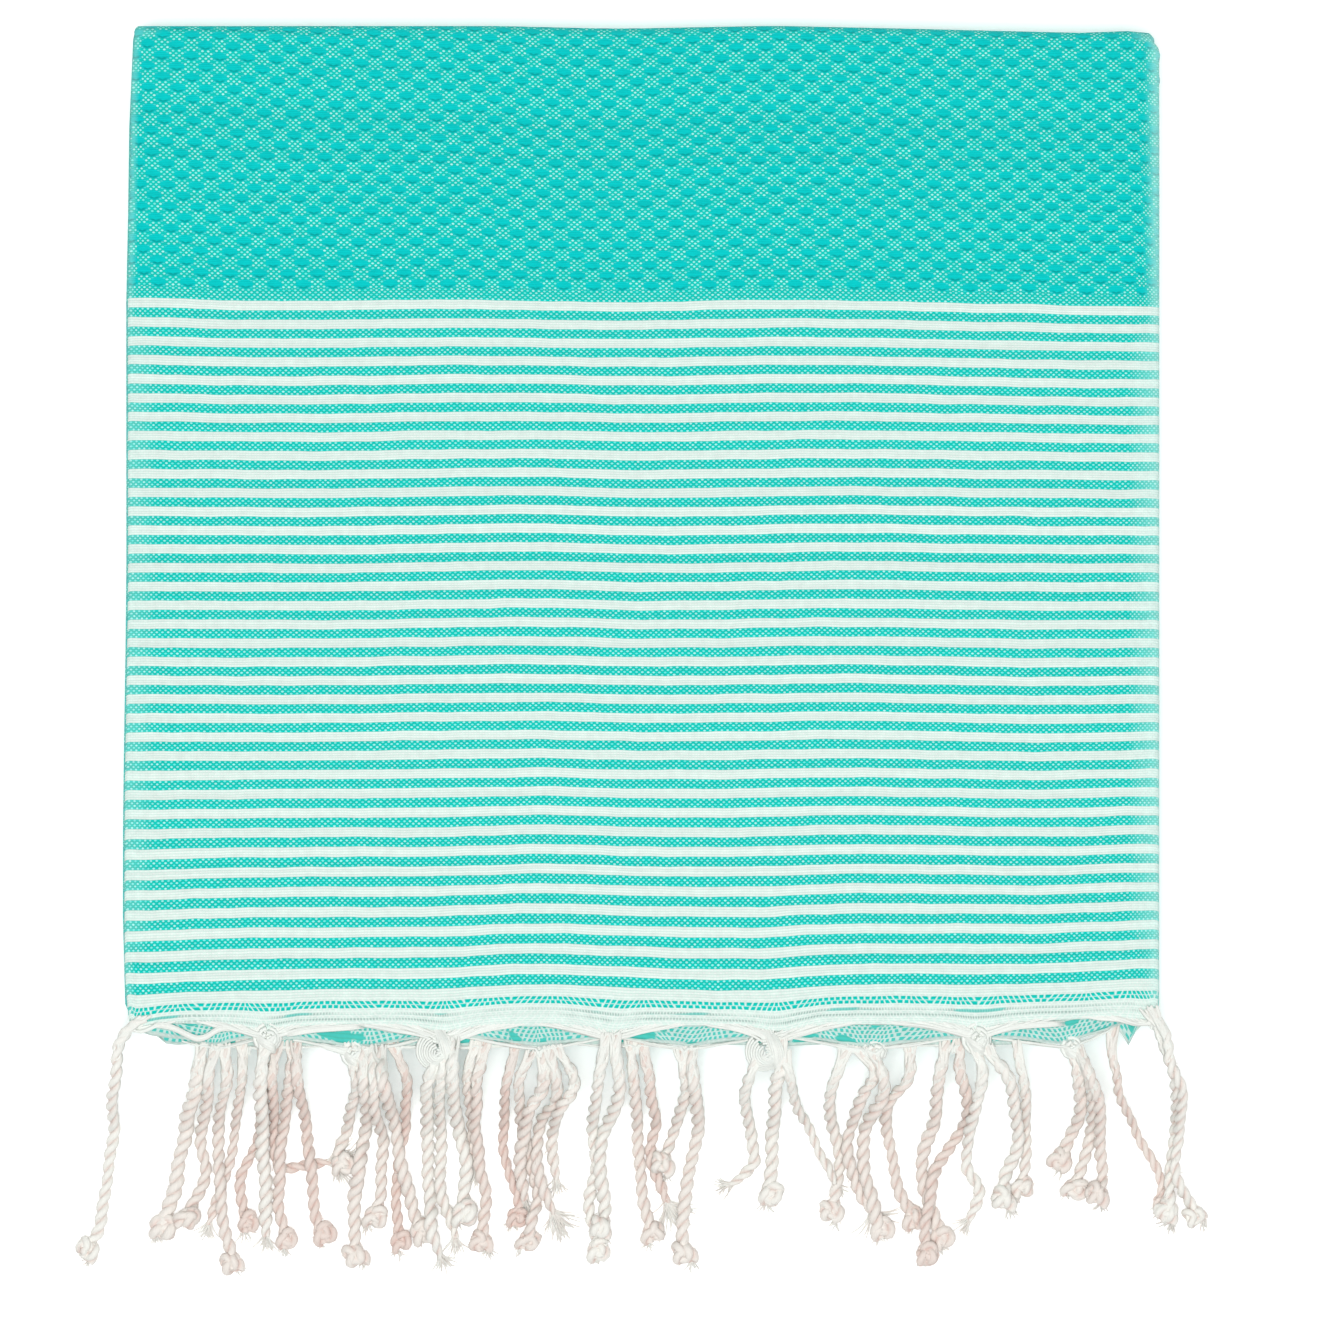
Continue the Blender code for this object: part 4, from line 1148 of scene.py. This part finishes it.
def wound_knot(rng, x, y, height, wide, tall, aside):
    """Gathered warp knotted to itself: rings of yarn that close up to one side, and the bundle below."""
    strands = []
    yarn = 0.46 if aside else 0.72
    turns = int(min(wide, tall) / 2 / (yarn * 1.25))
    for k in range(turns):
        share = k / turns
        t = np.linspace(0, 5.9, 24) + rng.uniform(1.6, 2.4)
        ring = 1 - 0.98 * share
        across = x + 0.16 * wide * share + ring * wide / 2 * np.cos(t)
        along = y - 0.10 * tall * share + ring * tall / 2 * np.sin(t)
        up = height + 0.2 + 0.26 * min(wide, tall) * math.sin(share * math.pi / 2) + 0.25 * np.sin(t * 1.5)
        ring = np.column_stack([across, along, up])
        strands.append((ring, yarn * rng.uniform(0.9, 1.15), -rng.uniform(0.55, 1.0)))
    # A yarn that crosses the middle of the rings
    middle = np.array([x + 0.14 * wide, y - 0.09 * tall, height + 0.4 + 0.26 * min(wide, tall)])
    crossing = middle + np.array([(-1.5, -0.9, -0.7), (-0.5, -0.2, 0.1), (0.5, 0.4, 0.1), (1.4, 1.2, -0.8)])
    strands.append((curve_through(crossing, 0.5), yarn * 1.05, -0.7))
    for k in range(7 if aside else 5):
        shift = (k - 3) * 0.62
        top = height + 0.26 * min(wide, tall) + 0.6 - 0.12 * (k - 3) ** 2
        if aside:
            points = (
                (x + 1.5 + shift * 0.7, y + 0.55 * tall, height),
                (x + aside * 0.8 + shift, y + 0.2 * tall, top),
                (x + aside + shift, y - 0.1 * tall, top),
                (x + aside * 1.05 + shift * 0.6, y - 0.5 * tall, top - 2.4),
            )
        else:
            points = (
                (x - 0.46 * wide, y + 0.1 * tall + shift * 0.5, height),
                (x - 0.1 * wide, y - 0.16 * tall + shift, top),
                (x + 0.26 * wide, y - 0.36 * tall + shift, top - 0.4),
                (x + 0.3 * wide, y - 0.5 * tall, height - 0.6),
            )
        strand = curve_through(points, 1.2)
        thickness = tapered(rng.uniform(0.46, 0.6), strand, (0, 0.8, 1), (1, 1, 0.5))
        strands.append((strand, thickness, -rng.uniform(0.3, 0.8)))
    return strands


def root_yarns(rng, line, radius, shade):
    """Loose yarn that draws together from the hem into the start of a cord."""
    strands = []
    for _ in range(10):
        turn, aside = rng.uniform(0, 2 * math.pi), rng.uniform(-2.4, 2.4)
        points = [line[0] + [aside, rng.uniform(0.2, 1.4), 0.1], line[3] + [aside * 0.7, 0.0, 0.3 * radius]]
        for step, share in ((7, 0.74), (12, 0.66), (17, 0.5)):
            around, out = turn + step * 0.3, share * radius
            points.append(line[step] + [out * math.cos(around), 0.0, out * abs(math.sin(around))])
        strand = curve_through(points, 1.4)
        thickness = tapered(rng.uniform(0.55, 0.8), strand, (0, 0.3, 1), (0.6, 1, 0.7))
        strands.append((strand, thickness, shade))
    return strands


def fuzz(rng, line, radii, shade):
    """Short fibres that stand off a cord."""
    strands = []
    for _ in range(22):
        at = rng.randrange(6, len(line) - 4)
        ahead = line[at + 1] - line[at - 1]
        ahead = ahead / np.linalg.norm(ahead)
        turn = rng.uniform(0, math.pi)
        out = np.array([math.cos(turn) * -ahead[1], math.cos(turn) * ahead[0], math.sin(turn)])
        start = line[at] + out * radii[at] * 0.75
        reach = rng.uniform(0.8, 1.9)
        middle = start + (out + ahead * rng.uniform(-0.4, 0.9)) * reach * 0.6
        end = middle + (out * 0.3 + ahead * rng.uniform(-0.6, 1.0)) * reach * 0.6
        points = np.array([start, middle, end])
        points[:, 2] = np.maximum(points[:, 2], 0.2)
        strands.append((points, 0.11, shade))
    return strands


def visible_cords(sizes):
    """Strands for each layer: two-ply cords, and single yarns and fibres."""
    rng = random.Random(YARN_SEED)
    pile = Pile()
    cords, yarns = {layer: [] for layer in LEVELS}, {layer: [] for layer in LEVELS}
    for layer in LEVELS:
        for gather in GATHERS[layer]:
            yarns[layer] += hem_yarns(rng, layer, *gather)
        for x, y, *shape in HEM_KNOTS.get(layer, ()):
            yarns[layer] += wound_knot(rng, x, y, hem_height(layer, x, y), *shape)
        for points in STRAYS.get(layer, ()):
            yarns[layer] += stray_strand(rng, layer, points)
        for thick, finish, route in CORDS[layer]:
            radius = CORD_RADIUS * thick
            flat = curve_through(route, 1.0)
            root_height = hem_height(layer, *route[0]) + (0.9 if layer == "face" else 0.3)
            out = (CLEAR_OF_HEMS_Y - flat[:, 1]) / (CLEAR_OF_HEMS_Y - LANDING_Y)
            height = root_height + (radius - root_height) * np.interp(out, *DROP)
            line = np.column_stack([flat, np.maximum(softened(height, 2), radius)])
            unit = sizes.knot_unit / MM * (0.75 + 0.25 * thick)
            side = rng.choice((-1, 1))
            first = None
            if finish == "knot":
                line, radii, first = knotted(line, radius, unit, side)
            else:
                radii = np.full(len(line), radius)
                radii[-6:] *= np.linspace(1.0, 0.55, 6)
            line[:, :2] += wobble(rng, len(line))
            line = pile.lay(line, radii, first)
            # The camera is 2.5 m up, so what lies on the table looks 1% smaller than what lies on the stack
            line[:, :2] += (line[:, :2] - CAMERA_XY) * ((STACK_HIGH - line[:, 2:]) / CAMERA_DISTANCE)
            radii = radii * (1 + 0.13 * wobble(rng, len(line))[:, 0])
            radii[:8] *= np.linspace(0.5, 1.0, 8)
            line[:, 2] = np.maximum(line[:, 2], 1.04 * radii)
            # Painted shade for each cord, by its layer
            shade = min(1.0, LAYER_SHADE[layer] * rng.uniform(0.6, 1.3))
            cords[layer].append((line, radii, shade))
            yarns[layer] += root_yarns(rng, line, radius, shade * 0.8 - 0.25)
            yarns[layer] += fuzz(rng, line, radii, shade)
            if finish == "knot":
                tip = rng.randint(10, 16), rng.uniform(3.5, 6.5), 0.7
            else:
                tip = (46, 12.0, 0.85) if finish == "fan" else (22, 7.5, 0.5)
            yarns[layer] += tuft(rng, line[-1], line[-1, :2] - line[-4, :2], *tip)
    return cords, yarns


HIDDEN_PITCH, HIDDEN_CORDS = 9.1, 12  # the pitch over the three layers, and the cords in one


def hidden_cords(layer, turn):
    """A plain row of the hidden end: nearly straight, each with its knot."""
    rng = random.Random(HIDDEN_SEED + turn)
    strands = []
    middle_place = (3 * HIDDEN_CORDS - 1) / 2
    top = run_height(RUNS - 1) - LEVELS[layer]
    for i in range(HIDDEN_CORDS):
        x = (turn + 3 * i - middle_place) * HIDDEN_PITCH
        lean = rng.uniform(-0.8, 0.8)
        radius = CORD_RADIUS * 0.95
        points = [(x, HIDDEN_HEM_Y[layer] + 1.0, top), (x, HIDDEN_HEM_Y[layer] - 4.0, (top + radius) / 2)]
        points += [(x + lean * k / 4, -84.0 - 13.0 * k, radius) for k in range(5)]
        line, radii, _ = knotted(curve_through(points, 1.5), radius, 0.8, 1)
        radii[:4] *= np.linspace(0.4, 1.0, 4)
        line[:, 2] = np.clip(line[:, 2], 1.04 * radii, 5.0)
        # Painted shade: the hidden rows lie under the stack and are mixed towards the pinker, darker cream
        strands.append((line, radii, 0.4))
    return strands


# -------------------------------------------------------------------------------------------- settings


COLOUR = {"subtype": "COLOR", "size": 4, "min": 0, "max": 1}


class TowelClothSettings(bpy.types.PropertyGroup):
    """Colours of the woven cloth."""

    turquoise: bpy.props.FloatVectorProperty(
        name="Turquoise weft", description="Colour of the dyed weft", default=linear("#02C1B5"), **COLOUR
    )
    white: bpy.props.FloatVectorProperty(
        name="White weft", description="Colour of the white weft", default=linear("#D5E6DE"), **COLOUR
    )
    warp: bpy.props.FloatVectorProperty(
        name="Warp", description="Colour of the warp, which runs on into the fringe",
        default=linear("#DDE7E2"), **COLOUR,
    )


class TowelFringeSettings(bpy.types.PropertyGroup):
    """Sizes and colours of the fringe."""

    twist_pitch: bpy.props.FloatProperty(
        name="Twist pitch", description="Length of one full turn of the two plies",
        default=8.6 * MM, min=2 * MM, unit="LENGTH",
    )
    knot_unit: bpy.props.FloatProperty(
        name="Knot size", description="Radius of one loop of a tip knot",
        default=0.72 * MM, min=0.5 * MM, unit="LENGTH",
    )
    cream: bpy.props.FloatVectorProperty(
        name="Cream", description="Colour of the cords in front", default=linear("#EAEBE5"), **COLOUR
    )
    # Painted shade: the cream that cords lying behind, in shade, are mixed towards
    behind: bpy.props.FloatVectorProperty(
        name="Cream behind", description="Colour of the cords that lie behind",
        default=linear("#DAC4BB"), **COLOUR,
    )
    # Painted shade: the colour painted between the plies
    groove_shade: bpy.props.FloatVectorProperty(
        name="Groove", description="Colour between the plies", default=linear("#C9A195"), **COLOUR
    )


class TowelStageSettings(bpy.types.PropertyGroup):
    """Floor, light and camera."""

    frame_wide: bpy.props.FloatProperty(
        name="Frame width", description="What the picture's width covers at the top of the stack",
        default=425.7 * MM, unit="LENGTH",
    )
    camera_distance: bpy.props.FloatProperty(
        name="Camera distance", description="From the top of the stack",
        default=CAMERA_DISTANCE * MM, min=0.5, unit="LENGTH",
    )
    floor: bpy.props.FloatVectorProperty(
        name="Floor", description="Colour of the floor", default=linear("#FBFBFA"), **COLOUR
    )


# ------------------------------------------------------------------------------------------- operators


def finish_piece(piece, node):
    """Every piece rides on the one body and stands for its solid, which is hidden."""
    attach(piece, "root")
    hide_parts(node)
    return piece


class TOWEL_OT_stage(bpy.types.Operator):
    """Lay the pale floor, set the soft studio light and hang the camera straight above the towel"""

    bl_idname = "towel.stage"
    bl_label = "Stage"

    def execute(self, context):
        sizes = context.scene.towel_stage
        shape = bmesh.new()
        bmesh.ops.create_grid(shape, x_segments=2, y_segments=2, size=4.0)
        mesh = bpy.data.meshes.new("studio_floor")
        shape.to_mesh(mesh)
        shape.free()
        mesh.materials.append(opal_acrylic(sizes.floor))
        floor = new_thing("studio_floor", mesh)

        world = bpy.data.worlds.new("Soft white room")
        world.use_nodes = True
        background = world.node_tree.nodes["Background"].inputs
        background["Color"].default_value = (1.0, 1.0, 1.0, 1.0)
        background["Strength"].default_value = 0.30
        context.scene.world = world
        for name, place, size, power in (
            ("Key softbox", (-0.28, -0.42, 3.0), 1.0, 47.0),
            ("Fill softbox", (0.40, -0.22, 3.0), 1.1, 24.5),
            ("Back softbox", (0.05, 0.40, 3.0), 1.1, 15.5),
        ):
            light = bpy.data.lights.new(name, "AREA")
            light.size = size
            light.energy = power
            lamp = new_thing(name, light)
            lamp.location = place
            direction = -np.array(place)
            lamp.rotation_euler = (
                math.acos(-direction[2] / np.linalg.norm(direction)),
                0.0,
                math.atan2(direction[1], direction[0]) - math.pi / 2,
            )

        camera_data = bpy.data.cameras.new("Camera above")
        camera_data.sensor_width = 36.0
        camera_data.lens = 36.0 * sizes.camera_distance / sizes.frame_wide
        camera_data.clip_end = 50.0
        camera = new_thing("Camera above", camera_data)
        camera.location = (*(CAMERA_XY * MM), STACK_HIGH * MM + sizes.camera_distance)
        context.scene.camera = camera
        context.scene.view_settings.view_transform = "Standard"
        return {"FINISHED"}


class TOWEL_OT_cloth(bpy.types.Operator):
    """Weave the cloth as one slab with its own woven coordinates and fold it"""

    bl_idname = "towel.cloth"
    bl_label = "Cloth"

    def execute(self, context):
        shape = cloth_slab()
        bmesh.ops.triangulate(shape, faces=[face for face in shape.faces if len(face.verts) > 4])
        mesh = bpy.data.meshes.new("towel_cloth_woven")
        shape.to_mesh(mesh)
        shape.free()
        flat = np.zeros(len(mesh.vertices) * 3)
        mesh.vertices.foreach_get("co", flat)
        u, v, lift = flat.reshape(-1, 3).T
        places, woven = fold_cloth(u, v, lift)
        corners = np.zeros(len(mesh.loops), dtype=np.int32)
        mesh.loops.foreach_get("vertex_index", corners)
        # Painted highlight along the side folds, for the material to lighten the cloth by
        fold_highlight = mesh.attributes.new("fold_highlight", "FLOAT", "POINT")
        fold_highlight.data.foreach_set("value", fold_highlight_strength(u))
        chart = mesh.uv_layers.new(name="weave")
        chart.data.foreach_set("uv", (woven[corners] * MM).ravel())
        mesh.vertices.foreach_set("co", (places * MM).ravel())
        mesh.polygons.foreach_set("use_smooth", [True] * len(mesh.polygons))
        mesh.update()
        mesh.materials.append(woven_cotton(context.scene.towel_cloth))
        cloth = new_thing("towel_cloth_woven", mesh)
        finish_piece(cloth, "towel_cloth")
        return {"FINISHED"}


class TOWEL_OT_fringe(bpy.types.Operator):
    """Gather, twist and knot the fringe of the end that shows"""

    bl_idname = "towel.fringe"
    bl_label = "Fringe"

    def execute(self, context):
        sizes = context.scene.towel_fringe
        cotton = bpy.data.materials.get("Twisted cotton yarn, undyed") or twisted_cotton(sizes)
        cords, yarns = visible_cords(sizes)
        for layer in LEVELS:
            pitch = {"Twist pitch": sizes.twist_pitch}
            twisted = dressed(f"fringe_{layer}_cords", cords[layer], cotton, **pitch)
            single = {"Plies": 1, "Ply offset": 0.0, "Ply size": 1.0, "Sides": 5, "Step": 1.6 * MM}
            loose = dressed(f"fringe_{layer}_yarns", yarns[layer], cotton, **single)
            for piece in (twisted, loose):
                finish_piece(piece, f"fringe_{layer}")
        return {"FINISHED"}


class TOWEL_OT_hidden_fringe(bpy.types.Operator):
    """Lay the plain fringe of the hidden end under the stack"""

    bl_idname = "towel.hidden_fringe"
    bl_label = "Hidden fringe"

    def execute(self, context):
        sizes = context.scene.towel_fringe
        cotton = bpy.data.materials.get("Twisted cotton yarn, undyed") or twisted_cotton(sizes)
        for turn, layer in enumerate(("face", "middle", "under")):
            plain = {"Sides": 6, "Step": 1.2 * MM, "Twist pitch": sizes.twist_pitch}
            row = dressed(f"fringe_hidden_{layer}_cords", hidden_cords(layer, turn), cotton, **plain)
            finish_piece(row, f"fringe_hidden_{layer}")
        return {"FINISHED"}


class TOWEL_OT_declare(bpy.types.Operator):
    """List the fringe's cord and yarn pieces; nothing is done with the list"""

    bl_idname = "towel.declare"
    bl_label = "Declare the sheet"

    def execute(self, context):
        things = context.scene.objects
        fringe = [thing for thing in things if thing.name.startswith("fringe_") and "_cords" in thing.name]
        fringe += [thing for thing in things if thing.name.endswith("_yarns")]
        return {"FINISHED"}


class TOWEL_PT_panel(bpy.types.Panel):
    """Lists the towel's pieces and their settings"""

    bl_label = "Folded hammam towel"
    bl_space_type = "VIEW_3D"
    bl_region_type = "UI"
    bl_category = "Towel"

    def draw(self, context):
        for operator, settings in STEPS:
            self.layout.operator(operator)
            group = getattr(context.scene, settings, None)
            for name in group.__annotations__ if group else ():
                self.layout.prop(group, name)


STEPS = (
    ("towel.stage", "towel_stage"),
    ("towel.cloth", "towel_cloth"),
    ("towel.fringe", "towel_fringe"),
    ("towel.hidden_fringe", ""),
    ("towel.declare", ""),
)
CLASSES = (
    TowelClothSettings,
    TowelFringeSettings,
    TowelStageSettings,
    TOWEL_OT_stage,
    TOWEL_OT_cloth,
    TOWEL_OT_fringe,
    TOWEL_OT_hidden_fringe,
    TOWEL_OT_declare,
    TOWEL_PT_panel,
)


def register():
    for kind in CLASSES:
        bpy.utils.register_class(kind)
    bpy.types.Scene.towel_cloth = bpy.props.PointerProperty(type=TowelClothSettings)
    bpy.types.Scene.towel_fringe = bpy.props.PointerProperty(type=TowelFringeSettings)
    bpy.types.Scene.towel_stage = bpy.props.PointerProperty(type=TowelStageSettings)


def unregister():
    del bpy.types.Scene.towel_stage
    del bpy.types.Scene.towel_fringe
    del bpy.types.Scene.towel_cloth
    for kind in reversed(CLASSES):
        bpy.utils.unregister_class(kind)


def main():
    register()
    bpy.ops.towel.stage()
    bpy.ops.towel.cloth()
    bpy.ops.towel.fringe()
    bpy.ops.towel.hidden_fringe()
    bpy.ops.towel.declare()


if __name__ == "__main__":
    main()
